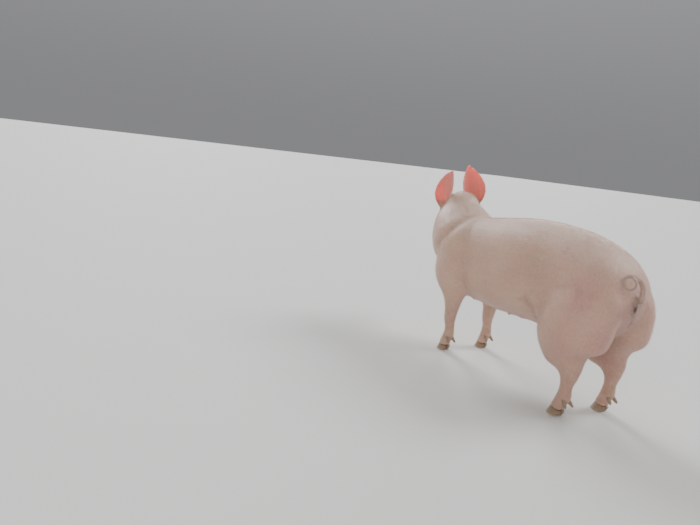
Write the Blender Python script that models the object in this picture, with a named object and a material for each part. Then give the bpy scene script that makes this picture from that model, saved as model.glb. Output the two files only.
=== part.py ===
"""A young white pig, standing, at life size. It faces -Y, its left side is +X and it stands on Z = 0.

The flesh is modelled whole, from lofted tubes and rounded masses that a voxel remesh melts together.
Sleeves and planes then part it, with thin gaps, into the pieces that a person would name. The ears,
eyes, tail and claws are solids of their own, trimmed to the flesh that they grow from.
"""

import math

import bmesh
import bpy
import numpy as np
from mathutils import Matrix, Vector
from mathutils.bvhtree import BVHTree

# Driving dimensions, in metres.
HEAD_LENGTH = 0.235
EYE_RADIUS = 0.0105
EYE_DEPTH = 0.0080
EYE_WITHIN = Vector((0.020, 0.143, 0.030))
EYE_LOOKS = Vector((0.88, -0.40, 0.24))
EAR_LENGTH = 0.150
EAR_THICKNESS = 0.0052
EAR_CUP = 0.012
EAR_SET_IN = 0.009
EAR_RIM_THINNING = 0.45
EAR_TIP_THINNING = 0.35
CLAW_LENGTH = 0.038
CLAW_WIDTH = 0.0185
CLAW_HEIGHT = 0.025
HEEL_HEIGHT = 0.015
CLAW_LEAN = 0.0095
CLAW_SET = -0.0045
CLAW_SIDES = 16
CLAW_INNER_SHARE = 0.23
CLAW_TOE_TAPER = 0.35
CLAW_TOP_TAPER = 0.14
CLEFT = 0.0035
CLEFT_TOP = 0.044
DEWCLAW_LENGTH = 0.022
DEWCLAW_RADII = (0.0074, 0.0036)
GAP = 0.0005

# How finely the flesh is melted together, and how far it is softened and simplified after that.
VOXEL = 0.0032
RING_STEP = 0.012
LIMB_STEP = 0.008
HEAD_STEP = 0.006
SLEEVE_STEP = 0.08
TAIL_STEP = 0.0095
SIDES, SLEEVE_SIDES, TAIL_SIDES = 32, 14, 8
SOFTENING_ROUNDS = 34
LEAST_SOFTNESS = 0.10
FLESH_TRIANGLES = 3400
SHARP_ANGLE = math.radians(50)

# The trunk, from the tail forwards: y, top, bottom, half width, squareness of the section.
TRUNK = (
    (0.294, 0.362, 0.285, 0.054, 2.0),
    (0.272, 0.402, 0.246, 0.096, 2.1),
    (0.232, 0.439, 0.220, 0.116, 2.2),
    (0.165, 0.475, 0.210, 0.119, 2.2),
    (0.085, 0.495, 0.203, 0.118, 2.2),
    (0.000, 0.501, 0.196, 0.120, 2.2),
    (-0.090, 0.493, 0.191, 0.122, 2.2),
    (-0.180, 0.480, 0.190, 0.121, 2.2),
    (-0.257, 0.468, 0.198, 0.119, 2.2),
    (-0.322, 0.455, 0.222, 0.113, 2.1),
    (-0.370, 0.434, 0.264, 0.090, 2.0),
)

# The neck, from inside the shoulders to inside the skull: centre, half width, rise, drop.
NECK = (
    ((0.006, -0.247, 0.340), 0.117, 0.124, 0.126),
    ((0.007, -0.309, 0.362), 0.119, 0.114, 0.126),
    ((0.000, -0.360, 0.388), 0.114, 0.104, 0.122),
    ((-0.017, -0.404, 0.415), 0.101, 0.096, 0.112),
    ((-0.036, -0.442, 0.434), 0.083, 0.084, 0.094),
    ((-0.050, -0.470, 0.444), 0.062, 0.060, 0.070),
)

# The head's own frame starts at the snout's disc: X to its left, Y back along it and Z up.
HEAD_SQUARENESS = 2.2
POLL = Vector((-0.034, -0.427, 0.444))
HEAD_TURN, HEAD_NOD, HEAD_ROLL = math.radians(36), math.radians(27), math.radians(13)

# The skull with the upper lip, from the snout back: distance, top, bottom, half width.
SKULL = (
    (0.003, 0.0215, -0.0210, 0.0260),
    (0.014, 0.0230, -0.0215, 0.0255),
    (0.032, 0.0265, -0.0225, 0.0280),
    (0.060, 0.0330, -0.0250, 0.0330),
    (0.090, 0.0420, -0.0290, 0.0395),
    (0.120, 0.0545, -0.0360, 0.0475),
    (0.148, 0.0690, -0.0460, 0.0570),
    (0.178, 0.0830, -0.0560, 0.0650),
    (0.208, 0.0900, -0.0640, 0.0680),
    (0.240, 0.0880, -0.0680, 0.0660),
)

# The lower jaw, in the same terms.
JAW = (
    (0.021, -0.0150, -0.0330, 0.0165),
    (0.034, -0.0140, -0.0430, 0.0225),
    (0.066, -0.0120, -0.0525, 0.0300),
    (0.100, -0.0060, -0.0630, 0.0385),
    (0.132, 0.0020, -0.0750, 0.0475),
    (0.164, 0.0080, -0.0860, 0.0560),
    (0.196, 0.0120, -0.0930, 0.0620),
    (0.226, 0.0120, -0.0940, 0.0625),
)

# A left leg, from inside the body to below the coronet: centre, half width, reach forwards, reach back.
HIND_LEG = (
    ((0.060, 0.200, 0.372), 0.042, 0.070, 0.076),
    ((0.066, 0.200, 0.332), 0.062, 0.092, 0.098),
    ((0.072, 0.202, 0.285), 0.067, 0.101, 0.106),
    ((0.075, 0.204, 0.240), 0.063, 0.104, 0.106),
    ((0.077, 0.208, 0.202), 0.054, 0.098, 0.098),
    ((0.077, 0.219, 0.168), 0.0410, 0.076, 0.072),
    ((0.077, 0.237, 0.140), 0.0275, 0.042, 0.040),
    ((0.077, 0.246, 0.114), 0.0205, 0.0255, 0.0265),
    ((0.078, 0.245, 0.086), 0.0170, 0.0178, 0.0178),
    ((0.078, 0.243, 0.057), 0.0190, 0.0182, 0.0208),
    ((0.079, 0.236, 0.036), 0.0195, 0.0172, 0.0172),
    ((0.079, 0.229, 0.010), 0.0205, 0.0182, 0.0172),
)
FORE_LEG = (
    ((0.060, -0.268, 0.378), 0.044, 0.066, 0.068),
    ((0.077, -0.284, 0.332), 0.052, 0.086, 0.082),
    ((0.084, -0.292, 0.284), 0.051, 0.083, 0.080),
    ((0.085, -0.286, 0.242), 0.044, 0.068, 0.066),
    ((0.083, -0.276, 0.206), 0.034, 0.047, 0.049),
    ((0.082, -0.273, 0.172), 0.0272, 0.0335, 0.0330),
    ((0.081, -0.273, 0.141), 0.0222, 0.0235, 0.0235),
    ((0.080, -0.274, 0.113), 0.0206, 0.0222, 0.0192),
    ((0.079, -0.270, 0.084), 0.0165, 0.0168, 0.0168),
    ((0.079, -0.271, 0.057), 0.0184, 0.0174, 0.0200),
    ((0.080, -0.278, 0.036), 0.0190, 0.0170, 0.0168),
    ((0.080, -0.285, 0.010), 0.0200, 0.0182, 0.0168),
)

# How far each foot is set forwards or back of that: a slight stride, shared out from LEG_TOP to LEG_LOW.
STRIDES = {"hind_left": -0.040, "hind_right": -0.018, "fore_left": -0.006, "fore_right": 0.010}
LEG_TOP, LEG_LOW = 0.33, 0.12

# The sleeve round a left leg that parts it from the trunk, in the same terms.
HIND_SLEEVE = (
    ((0.092, 0.203, 0.378), 0.012, 0.015, 0.015),
    ((0.094, 0.203, 0.372), 0.035, 0.045, 0.045),
    ((0.097, 0.203, 0.350), 0.062, 0.082, 0.080),
    ((0.100, 0.203, 0.305), 0.082, 0.112, 0.110),
    ((0.098, 0.203, 0.245), 0.088, 0.122, 0.130),
    ((0.094, 0.200, 0.185), 0.088, 0.130, 0.135),
    ((0.094, 0.190, -0.02), 0.088, 0.140, 0.140),
)
FORE_SLEEVE = (
    ((0.096, -0.262, 0.346), 0.012, 0.015, 0.015),
    ((0.098, -0.262, 0.340), 0.033, 0.035, 0.035),
    ((0.102, -0.263, 0.320), 0.058, 0.060, 0.060),
    ((0.104, -0.265, 0.276), 0.076, 0.080, 0.078),
    ((0.100, -0.268, 0.216), 0.086, 0.100, 0.096),
    ((0.096, -0.268, 0.156), 0.086, 0.115, 0.115),
    ((0.096, -0.268, -0.02), 0.086, 0.115, 0.115),
)

# The planes that part the body in front of the legs: a point and the direction of what is cut off. The
# head's and the snout's are in the head's frame.
NECK_CUT = (Vector((0, -0.318, 0.350)), Vector((-0.10, -1.0, 0.25)))
HEAD_CUT = (Vector((0, 0.214, 0)), Vector((0, -1.0, 0.35)))
SNOUT_CUT = (Vector((0, 0.066, 0)), Vector((0, -1.0, 0)))

# The ear, in parts of its length: the way along, the width of the flattened leaf, and the angle in
# degrees through which that width is rolled.
EAR_PROFILE = (
    (-0.10, 0.44, 290),
    (0.00, 0.53, 258),
    (0.12, 0.69, 205),
    (0.28, 0.78, 150),
    (0.45, 0.77, 118),
    (0.62, 0.65, 100),
    (0.78, 0.46, 88),
    (0.90, 0.25, 80),
    (0.97, 0.11, 70),
    (1.00, 0.04, 60),
)

# Where an ear stands in the head's frame, for the left one, and how it is held: its lean inwards and
# back, and the way that it opens, measured from straight sideways towards the back.
EAR_PLACE = Vector((0.052, 0.197, 0.058))
EAR_HOLD = {"left": (22, 47, 38), "right": (8, 30, 74)}

# The tail: its root, then a spiral that winds inwards to the tip, in metres and turns.
TAIL_ROOT = (Vector((0.000, 0.266, 0.349)), Vector((0.000, 0.300, 0.351)))
TAIL_CENTRE = Vector((0.053, 0.296, 0.392))
TAIL_AXIS = Vector((0.66, 0.70, 0.28)).normalized()
TAIL_START = math.radians(-40)
TAIL_TURNS = 1.35
TAIL_RADII = (0.0080, 0.0040)
TAIL_COIL = 0.0190
TAIL_UNWINDING = 0.0225
TAIL_SETTLING = 5.5
TAIL_TIGHTENING = 0.0045
STEPS_PER_TURN = 14
TAIL_DRIFT = 0.010


def clear_scene():
    for obj in list(bpy.data.objects):
        bpy.data.objects.remove(obj, do_unlink=True)


def material(name, colour, roughness):
    made = bpy.data.materials.new(name)
    made.use_nodes = True
    shader = made.node_tree.nodes["Principled BSDF"]
    shader.inputs["Base Color"].default_value = (*colour, 1.0)
    shader.inputs["Roughness"].default_value = roughness
    shader.inputs["Metallic"].default_value = 0.0
    return made


def new_object(name, mesh):
    obj = bpy.data.objects.new(name, mesh)
    bpy.context.scene.collection.objects.link(obj)
    return obj


def new_mesh(name, work):
    """A bmesh made into a mesh, with its faces pointing out."""
    bmesh.ops.recalc_face_normals(work, faces=work.faces)
    bmesh.ops.triangulate(work, faces=work.faces)
    made = bpy.data.meshes.new(name)
    work.to_mesh(made)
    work.free()
    return made


def apply_modifiers(obj):
    bpy.context.view_layer.update()
    graph = bpy.context.evaluated_depsgraph_get()
    obj.data = bpy.data.meshes.new_from_object(obj.evaluated_get(graph))
    obj.modifiers.clear()


def coordinates(mesh):
    points = np.empty(len(mesh.vertices) * 3)
    mesh.vertices.foreach_get("co", points)
    return points.reshape(-1, 3)


def smooth_rows(rows, step):
    """The rows of numbers joined by a smooth curve, with a row about every step along their first three."""
    rows = np.array(rows, float)
    along = np.concatenate([[0], np.cumsum(np.linalg.norm(np.diff(rows[:, :3], axis=0), axis=1))])
    slopes = np.gradient(rows, along, axis=0)
    made = []
    for i in range(len(rows) - 1):
        span = along[i + 1] - along[i]
        count = max(1, round(span / step))
        for t in np.arange(count) / count:
            a, b = 2 * t**3 - 3 * t**2 + 1, t**3 - 2 * t**2 + t
            c, d = -2 * t**3 + 3 * t**2, t**3 - t**2
            made.append(a * rows[i] + c * rows[i + 1] + span * (b * slopes[i] + d * slopes[i + 1]))
    made.append(rows[-1])
    return np.array(made)


def tube_mesh(name, rows, top, step=RING_STEP, sides=SIDES):
    """A closed tube. A row is a centre, half width, reach towards top, reach away from it, squareness."""
    rows = smooth_rows(rows, step)
    tangents = np.gradient(rows[:, :3], axis=0)
    work = bmesh.new()
    rings = []
    for row, tangent in zip(rows, tangents):
        forwards = Vector(tangent).normalized()
        side = forwards.cross(Vector(top)).normalized()
        up = side.cross(forwards)
        _, _, _, width, rise, drop, squareness = row
        ring = []
        for k in range(sides):
            angle = 2 * math.pi * k / sides
            across, along = math.cos(angle), math.sin(angle)
            x = math.copysign(abs(across) ** (2 / squareness), across) * width
            z = math.copysign(abs(along) ** (2 / squareness), along) * (rise if along > 0 else drop)
            ring.append(work.verts.new(Vector(row[:3]) + side * x + up * z))
        rings.append(ring)
    skin_rings(work, rings)
    return new_mesh(name, work)


def skin_rings(work, rings):
    """Closes a stack of rings into a solid."""
    for lower, upper in zip(rings, rings[1:]):
        for k in range(len(lower)):
            work.faces.new((lower[k - 1], lower[k], upper[k], upper[k - 1]))
    work.faces.new(rings[0])
    work.faces.new(rings[-1][::-1])


def ball_mesh(name, centre, radii, segments=32):
    work = bmesh.new()
    place = Matrix.Translation(centre) @ Matrix.Diagonal((*radii, 1.0))
    bmesh.ops.create_uvsphere(work, u_segments=segments, v_segments=segments // 2, radius=1.0, matrix=place)
    return new_mesh(name, work)


def flat_rows(rows, squareness=2.0):
    """Rows of (centre, sizes...) as plain rows of numbers, with a squareness at the end."""
    return [(*centre, *rest, squareness) for centre, *rest in rows]


def leg_rows(rows, leg):
    """A left leg's rows, mirrored for a right leg and set to the leg's stride."""
    side = 1 if leg.endswith("left") else -1
    made = []
    for (x, y, z), *rest in rows:
        stride = STRIDES[leg] * min(max((LEG_TOP - z) / (LEG_TOP - LEG_LOW), 0), 1)
        made.append(((side * x, y + stride, z), *rest))
    return flat_rows(made)


def head_frame():
    """From the head's own frame to the pig's. It turns to the pig's right, nods and rolls about the poll."""
    turn = Matrix.Rotation(-HEAD_TURN, 4, "Z") @ Matrix.Rotation(HEAD_NOD, 4, "X")
    turn = turn @ Matrix.Rotation(HEAD_ROLL, 4, "Y")
    return Matrix.Translation(POLL) @ turn @ Matrix.Translation((0, -HEAD_LENGTH, 0))


def trunk_meshes():
    rows = []
    for y, top, bottom, width, squareness in TRUNK:
        middle = (top + bottom) / 2
        rows.append((0, y, middle, width, top - middle, middle - bottom, squareness))
    return [tube_mesh("trunk", rows, (0, 0, 1)), tube_mesh("neck", flat_rows(NECK, 2.1), (0, 0, 1))]


def leg_table(leg):
    return HIND_LEG if leg.startswith("hind") else FORE_LEG


def sleeve_table(leg):
    return HIND_SLEEVE if leg.startswith("hind") else FORE_SLEEVE


def leg_name(leg):
    return leg.replace("hind_", "hind_leg_").replace("fore_", "foreleg_")


def leg_meshes():
    return [tube_mesh(leg, leg_rows(leg_table(leg), leg), (0, -1, 0), LIMB_STEP) for leg in STRIDES]


def head_meshes():
    made = []
    for name, table in (("skull", SKULL), ("jaw", JAW)):
        rows = []
        for back, top, bottom, width in table:
            middle = (top + bottom) / 2
            rows.append((0, back, middle, width, top - middle, middle - bottom, HEAD_SQUARENESS))
        made.append(tube_mesh(name, rows, (0, 0, 1), HEAD_STEP))
    made.append(ball_mesh("disc", (0, 0.0045, 0.000), (0.0295, 0.0080, 0.0248)))
    for side in (1, -1):
        made.append(ball_mesh("brow", (side * 0.035, 0.158, 0.041), (0.020, 0.034, 0.020)))
        made.append(ball_mesh("cheek", (side * 0.038, 0.172, -0.006), (0.026, 0.050, 0.044)))
        made.append(ball_mesh("jowl", (side * 0.036, 0.208, -0.046), (0.036, 0.056, 0.038)))
        made.append(ball_mesh("ear root", (side * 0.050, 0.204, 0.044), (0.026, 0.032, 0.030)))
    made.append(ball_mesh("nape", (0, 0.250, 0.032), (0.064, 0.066, 0.058)))
    frame = head_frame()
    for mesh in made:
        mesh.transform(frame)
    return made


def melt(meshes):
    """The meshes as one closed skin, with soft blends where they meet."""
    work = bmesh.new()
    for mesh in meshes:
        work.from_mesh(mesh)
    flesh = new_object("flesh", new_mesh("flesh", work))
    remesh = flesh.modifiers.new("melt", "REMESH")
    remesh.mode = "VOXEL"
    remesh.voxel_size = VOXEL
    apply_modifiers(flesh)
    return flesh


def weigh(obj, name, weights):
    """A vertex group that holds the weights in steps of a twentieth."""
    group = obj.vertex_groups.new(name=name)
    for level in range(1, 21):
        chosen = np.nonzero(np.round(weights * 20) == level)[0]
        group.add(chosen.tolist(), level / 20, "REPLACE")
    return name


def from_snout(points):
    return np.linalg.norm(points - np.array(head_frame().translation), axis=1)


def soften(flesh):
    """Smooths the flesh: most on the trunk and upper legs, least on the snout and feet."""
    points = coordinates(flesh.data)
    above_foot = np.clip((points[:, 2] - 0.12) / 0.07, 0, 1)
    behind_snout = np.clip((from_snout(points) - 0.03) / 0.20, 0, 1)
    softness = LEAST_SOFTNESS + (1 - LEAST_SOFTNESS) * above_foot * behind_snout**1.5
    smooth = flesh.modifiers.new("soften", "SMOOTH")
    smooth.factor = 0.5
    smooth.iterations = SOFTENING_ROUNDS
    smooth.vertex_group = weigh(flesh, "softness", softness)
    apply_modifiers(flesh)


def simplify(flesh):
    """Leaves large triangles where the flesh is plain, and small ones where it turns."""
    flesh.vertex_groups.clear()
    fewer = flesh.modifiers.new("simplify", "DECIMATE")
    fewer.ratio = FLESH_TRIANGLES / (2 * len(flesh.data.polygons))
    apply_modifiers(flesh)


def boolean(obj, cutter, operation):
    change = obj.modifiers.new("cut", "BOOLEAN")
    change.operation = operation
    change.object = cutter
    apply_modifiers(obj)


def inflated(mesh, by):
    """A copy of a mesh, grown along its own normals."""
    grown = mesh.copy()
    points = coordinates(mesh)
    normals = np.empty(len(points) * 3)
    mesh.vertex_normals.foreach_get("vector", normals)
    grown.vertices.foreach_set("co", (points + by * normals.reshape(-1, 3)).ravel())
    grown.update()
    return grown


def trimmed(obj, mesh, operation, clearance=0.0):
    """Cuts the object by a mesh, or by that mesh grown by a clearance, and keeps its largest body."""
    cutter = new_object("cutter", inflated(mesh, clearance))
    boolean(obj, cutter, operation)
    bpy.data.objects.remove(cutter)
    work = bmesh.new()
    work.from_mesh(obj.data)
    bodies, met = [], set()
    for seed in work.verts:
        if seed in met:
            continue
        body, edge = {seed}, [seed]
        while edge:
            near = {link.other_vert(vert) for vert in edge for link in vert.link_edges} - body
            body |= near
            edge = list(near)
        met |= body
        bodies.append(body)
    largest = max(bodies, key=len)
    bmesh.ops.delete(work, geom=[vert for vert in work.verts if vert not in largest], context="VERTS")
    work.to_mesh(obj.data)
    work.free()


def part_leg(flesh, name, sleeve):
    """The leg that lies in the sleeve, cut out of the flesh."""
    leg = new_object(name, flesh.data.copy())
    trimmed(leg, sleeve, "INTERSECT")
    trimmed(flesh, sleeve, "DIFFERENCE", GAP)
    return leg


def half(mesh, point, direction):
    """The part of a mesh that lies behind a plane, closed along the cut."""
    work = bmesh.new()
    work.from_mesh(mesh)
    every = [*work.verts, *work.edges, *work.faces]
    found = bmesh.ops.bisect_plane(work, geom=every, plane_co=point, plane_no=direction, clear_outer=True)
    rim = [part for part in found["geom_cut"] if isinstance(part, bmesh.types.BMEdge)]
    bmesh.ops.edgeloop_fill(work, edges=rim)
    return new_mesh("half", work)


def part_by_plane(obj, name, point, direction):
    """Cuts off what lies in front of a plane, and leaves a thin gap. The cut piece is returned."""
    way = direction.normalized()
    piece = new_object(name, half(obj.data, point + way * GAP / 2, -way))
    obj.data = half(obj.data, point - way * GAP / 2, way)
    return piece


def ear_place(side):
    """From an ear's own frame to the head's. The ear runs along its Z and opens towards its X."""
    sign = 1 if side == "left" else -1
    lean_in, lean_back, opening = (math.radians(angle) for angle in EAR_HOLD[side])
    lean = Matrix.Rotation(-sign * lean_in, 4, "Y") @ Matrix.Rotation(-lean_back, 4, "X")
    turn = Matrix.Rotation(math.atan2(math.sin(opening), sign * math.cos(opening)), 4, "Z")
    return Matrix.Translation((sign * EAR_PLACE.x, EAR_PLACE.y, EAR_PLACE.z)) @ lean @ turn


def ear_mesh(side, rings_along=12, strips=8):
    """A leaf with a thickness, rolled into a funnel at its base and opening out towards its tip."""
    table = np.array(EAR_PROFILE)
    work = bmesh.new()
    rings = []
    for u in np.linspace(table[0, 0], 1, rings_along + 1):
        width = EAR_LENGTH * np.interp(u, table[:, 0], table[:, 1])
        roll = math.radians(np.interp(u, table[:, 0], table[:, 2]))
        radius = width / roll
        set_in = EAR_SET_IN * max(1 - u / 0.3, 0) ** 2
        middle = Vector((radius + EAR_CUP * u * u - set_in, 0, EAR_LENGTH * u))
        outer, inner = [], []
        for v in np.linspace(-1, 1, strips + 1):
            rim = 1 - EAR_RIM_THINNING * abs(v) ** 3
            thickness = EAR_THICKNESS * rim * (1 - EAR_TIP_THINNING * max(u, 0))
            way = Vector((-math.cos(v * roll / 2), math.sin(v * roll / 2), 0))
            outer.append(work.verts.new(middle + way * radius))
            inner.append(work.verts.new(middle + way * max(radius - thickness, 0.15 * radius)))
        rings.append(outer + inner[::-1])
    skin_rings(work, rings)
    made = new_mesh("ear_" + side, work)
    made.transform(head_frame() @ ear_place(side))
    return made


def tail_mesh():
    side = TAIL_AXIS.cross(Vector((0, 0, 1))).normalized() * -1
    up = TAIL_AXIS.cross(side)
    rows = [(*TAIL_ROOT[0], TAIL_RADII[0] * 1.5), (*TAIL_ROOT[1], TAIL_RADII[0] * 1.2)]
    count = round(TAIL_TURNS * STEPS_PER_TURN)
    for k in range(count + 1):
        turn = TAIL_TURNS * k / count
        angle = TAIL_START + 2 * math.pi * turn
        reach = TAIL_COIL + TAIL_UNWINDING * math.exp(-TAIL_SETTLING * turn) - TAIL_TIGHTENING * turn
        spoke = side * math.cos(angle) + up * math.sin(angle)
        point = TAIL_CENTRE + spoke * reach + TAIL_AXIS * (TAIL_DRIFT * turn)
        rows.append((*point, TAIL_RADII[0] + (TAIL_RADII[1] - TAIL_RADII[0]) * k / count))
    full = [(x, y, z, radius, radius, radius, 2.0) for x, y, z, radius in rows]
    return tube_mesh("tail", full, TAIL_AXIS, TAIL_STEP, TAIL_SIDES)


def foot_frame(leg):
    """The leg's last row in the table: where its foot is, in the pig's frame."""
    return Vector(leg_rows(leg_table(leg), leg)[-1][:3])


def coronet_height(forwards):
    """How high a claw stands at a distance in front of its middle."""
    return HEEL_HEIGHT + (CLAW_HEIGHT - HEEL_HEIGHT) * (forwards / CLAW_LENGTH + 0.5)


def claw_mesh(name, foot, side):
    """One claw: a flat sole, a wall that leans back and, on the side of the cleft, a straight wall."""
    work = bmesh.new()
    rings = []
    middle = CLEFT / 2 + CLAW_INNER_SHARE * CLAW_WIDTH
    for t in (0, 1):
        ring = []
        for k in range(CLAW_SIDES):
            angle = 2 * math.pi * k / CLAW_SIDES
            across, along = math.cos(angle), math.sin(angle)
            bulge = (1 - 0.10 * t) * (1 - CLAW_INNER_SHARE if across > 0 else CLAW_INNER_SHARE)
            x = middle + bulge * CLAW_WIDTH * across * (1 - CLAW_TOE_TAPER * max(along, 0) ** 2)
            forwards = along * CLAW_LENGTH / 2 * (1 - CLAW_TOP_TAPER * t) - CLAW_LEAN * t
            z = t * (coronet_height(forwards) - GAP)
            ring.append(work.verts.new((foot.x + side * x, foot.y + CLAW_SET - forwards, z)))
        rings.append(ring)
    skin_rings(work, rings)
    return new_mesh(name, work)


def cleft_mesh(foot):
    """A thin wedge between the two toes, which runs up from the claws."""
    work = bmesh.new()
    outline = ((-0.5, 0.0), (0.5, 0.0), (0.28, 0.55), (0.0, 1.0), (-0.28, 0.55))
    rings = []
    for y in (-0.04, 0.04):
        rings.append([work.verts.new((foot.x + CLEFT * x, foot.y + y, CLEFT_TOP * z)) for x, z in outline])
    skin_rings(work, rings)
    return new_mesh("cleft", work)


def dewclaw_mesh(name, foot, side):
    """A small cone behind the fetlock, which points down and back."""
    work = bmesh.new()
    bmesh.ops.create_cone(
        work,
        cap_ends=True,
        segments=7,
        radius1=DEWCLAW_RADII[0],
        radius2=DEWCLAW_RADII[1],
        depth=DEWCLAW_LENGTH,
    )
    made = new_mesh(name, work)
    way = Vector((side * 0.22, 0.50, -0.84)).to_track_quat("Z", "Y").to_matrix().to_4x4()
    made.transform(Matrix.Translation(foot + Vector((side * 0.0115, 0.033, 0.034))) @ way)
    return made


def eye_place(flesh, side):
    """The middle of an eye: a set depth below the skin, along the way that the eye looks."""
    frame = head_frame()
    within = frame @ Vector((side * EYE_WITHIN.x, EYE_WITHIN.y, EYE_WITHIN.z))
    looks = (frame.to_3x3() @ Vector((side * EYE_LOOKS.x, EYE_LOOKS.y, EYE_LOOKS.z))).normalized()
    work = bmesh.new()
    work.from_mesh(flesh.data)
    surface = BVHTree.FromBMesh(work).ray_cast(within, looks)[0]
    work.free()
    return surface - looks * EYE_DEPTH


def nostril_mesh(side):
    made = ball_mesh("nostril", (side * 0.0105, -0.002, 0.001), (0.0048, 0.0085, 0.0062), segments=12)
    made.transform(head_frame())
    return made


def part_body(flesh, skin, eye, horn):
    """The body's pieces, by name."""
    pieces = {}
    for side, sign in (("left", 1), ("right", -1)):
        centre = eye_place(flesh, sign)
        ball = ball_mesh("eye_" + side, centre, (EYE_RADIUS,) * 3, segments=16)
        pieces["eye_" + side] = (new_object("eye_" + side, ball), eye)
        trimmed(flesh, ball_mesh("socket", centre, (EYE_RADIUS + GAP,) * 3, segments=16), "DIFFERENCE")
        trimmed(flesh, nostril_mesh(sign), "DIFFERENCE")
    small = {"ear_left": ear_mesh("left"), "ear_right": ear_mesh("right"), "tail": tail_mesh()}
    for name, mesh in small.items():
        grown = new_object(name, mesh)
        trimmed(grown, flesh.data, "DIFFERENCE", GAP)
        pieces[name] = (grown, skin)
    for leg in STRIDES:
        foot = foot_frame(leg)
        sleeve = tube_mesh("sleeve", leg_rows(sleeve_table(leg), leg), (0, -1, 0), SLEEVE_STEP, SLEEVE_SIDES)
        limb = part_leg(flesh, leg_name(leg), sleeve)
        slope = (CLAW_HEIGHT - HEEL_HEIGHT) / CLAW_LENGTH
        coronet = foot + Vector((0, CLAW_SET, 0))
        coronet.z = coronet_height(0)
        limb.data = half(limb.data, coronet, Vector((0, -slope, -1)))
        for place, sign in (("inner", -1), ("outer", 1)):
            sign *= 1 if leg.endswith("left") else -1
            claw = f"claw_{leg}_{place}"
            pieces[claw] = (new_object(claw, claw_mesh(claw, foot, sign)), horn)
            dewclaw = f"dewclaw_{leg}_{place}"
            spur = new_object(dewclaw, dewclaw_mesh(dewclaw, foot, sign))
            trimmed(spur, limb.data, "DIFFERENCE", GAP)
            pieces[dewclaw] = (spur, horn)
        trimmed(limb, cleft_mesh(foot), "DIFFERENCE")
        pieces[leg_name(leg)] = (limb, skin)
    flesh.name = "trunk"
    neck = part_by_plane(flesh, "neck", *NECK_CUT)
    frame = head_frame()
    turn = frame.to_3x3()
    head = part_by_plane(neck, "head", frame @ HEAD_CUT[0], turn @ HEAD_CUT[1])
    snout = part_by_plane(head, "snout", frame @ SNOUT_CUT[0], turn @ SNOUT_CUT[1])
    for piece in (flesh, neck, head, snout):
        pieces[piece.name] = (piece, skin)
    return pieces


def main():
    clear_scene()
    skin = material("skin", (0.80, 0.56, 0.50), 0.55)
    eye = material("eye", (0.03, 0.02, 0.015), 0.1)
    horn = material("horn", (0.36, 0.27, 0.20), 0.45)
    flesh = melt(trunk_meshes() + leg_meshes() + head_meshes())
    soften(flesh)
    simplify(flesh)
    pieces = part_body(flesh, skin, eye, horn)
    corners = np.vstack([coordinates(piece.data) for piece, _ in pieces.values()])
    low, high = corners.min(axis=0), corners.max(axis=0)
    to_origin = Matrix.Translation((-(low[0] + high[0]) / 2, -(low[1] + high[1]) / 2, -low[2]))
    for name, (piece, finish) in pieces.items():
        piece.data.name = name
        piece.data.transform(to_origin)
        piece.data.materials.clear()
        piece.data.materials.append(finish)
        piece.data.shade_smooth()
        piece.data.set_sharp_from_angle(angle=SHARP_ANGLE)


main()
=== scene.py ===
"""The looks of a young white pig that stands with its head turned: skin, eyes, claws and bristles.

One skin is melted over the frame's pieces of flesh, then folded and creased. It is the ground for the
bristles, which take their colours from it, painted shade and sheen too. Lengths are in metres. The pig faces
-Y and +X is its left.
"""

import heapq
import math

import bmesh
import bpy
import numpy as np
from mathutils import Matrix, Vector
from mathutils.bvhtree import BVHTree


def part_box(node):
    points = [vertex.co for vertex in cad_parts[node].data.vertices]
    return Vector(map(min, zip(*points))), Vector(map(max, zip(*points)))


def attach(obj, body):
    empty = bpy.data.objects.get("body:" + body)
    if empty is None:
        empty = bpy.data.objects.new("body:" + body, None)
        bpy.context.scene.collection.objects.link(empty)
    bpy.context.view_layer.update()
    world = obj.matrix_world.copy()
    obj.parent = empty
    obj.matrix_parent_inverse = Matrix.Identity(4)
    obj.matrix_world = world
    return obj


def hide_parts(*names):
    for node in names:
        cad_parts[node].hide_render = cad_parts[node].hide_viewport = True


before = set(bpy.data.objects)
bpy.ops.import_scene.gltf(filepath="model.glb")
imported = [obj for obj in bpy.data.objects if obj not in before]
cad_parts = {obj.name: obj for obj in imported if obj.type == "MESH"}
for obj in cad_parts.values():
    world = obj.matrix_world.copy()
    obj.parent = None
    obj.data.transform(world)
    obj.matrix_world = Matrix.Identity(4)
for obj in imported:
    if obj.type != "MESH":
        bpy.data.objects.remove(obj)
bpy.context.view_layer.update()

SIDES = {"left": 1, "right": -1}
LEGS = ("fore_left", "fore_right", "hind_left", "hind_right")
FLESH = (
    "trunk", "neck", "head", "snout", "tail",
    "foreleg_left", "foreleg_right", "hind_leg_left", "hind_leg_right",
)
PLACES = FLESH + ("ear_left", "ear_right")

# The skin: how finely the flesh is melted, and how far the skin lies below its surface.
FIRST_VOXEL = 0.0030
VOXEL = 0.0018
SKIN_TRIANGLES = 330_000
NODE_OVERLAP = 0.0005
COAT_DEPTH = 0.0010
FLESH_ROUNDS, SKIN_ROUNDS, EAR_ROUNDS = 60, 8, 30

# What fills the eye sockets and nostrils of the solids before the skin is cut anew.
SOCKET_FILL, SOCKET_SET_IN = 0.0012, 0.0030
NOSTRIL_FILL, NOSTRIL_SET_IN = (0.0062, 0.0064, 0.0075), 0.0062

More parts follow.
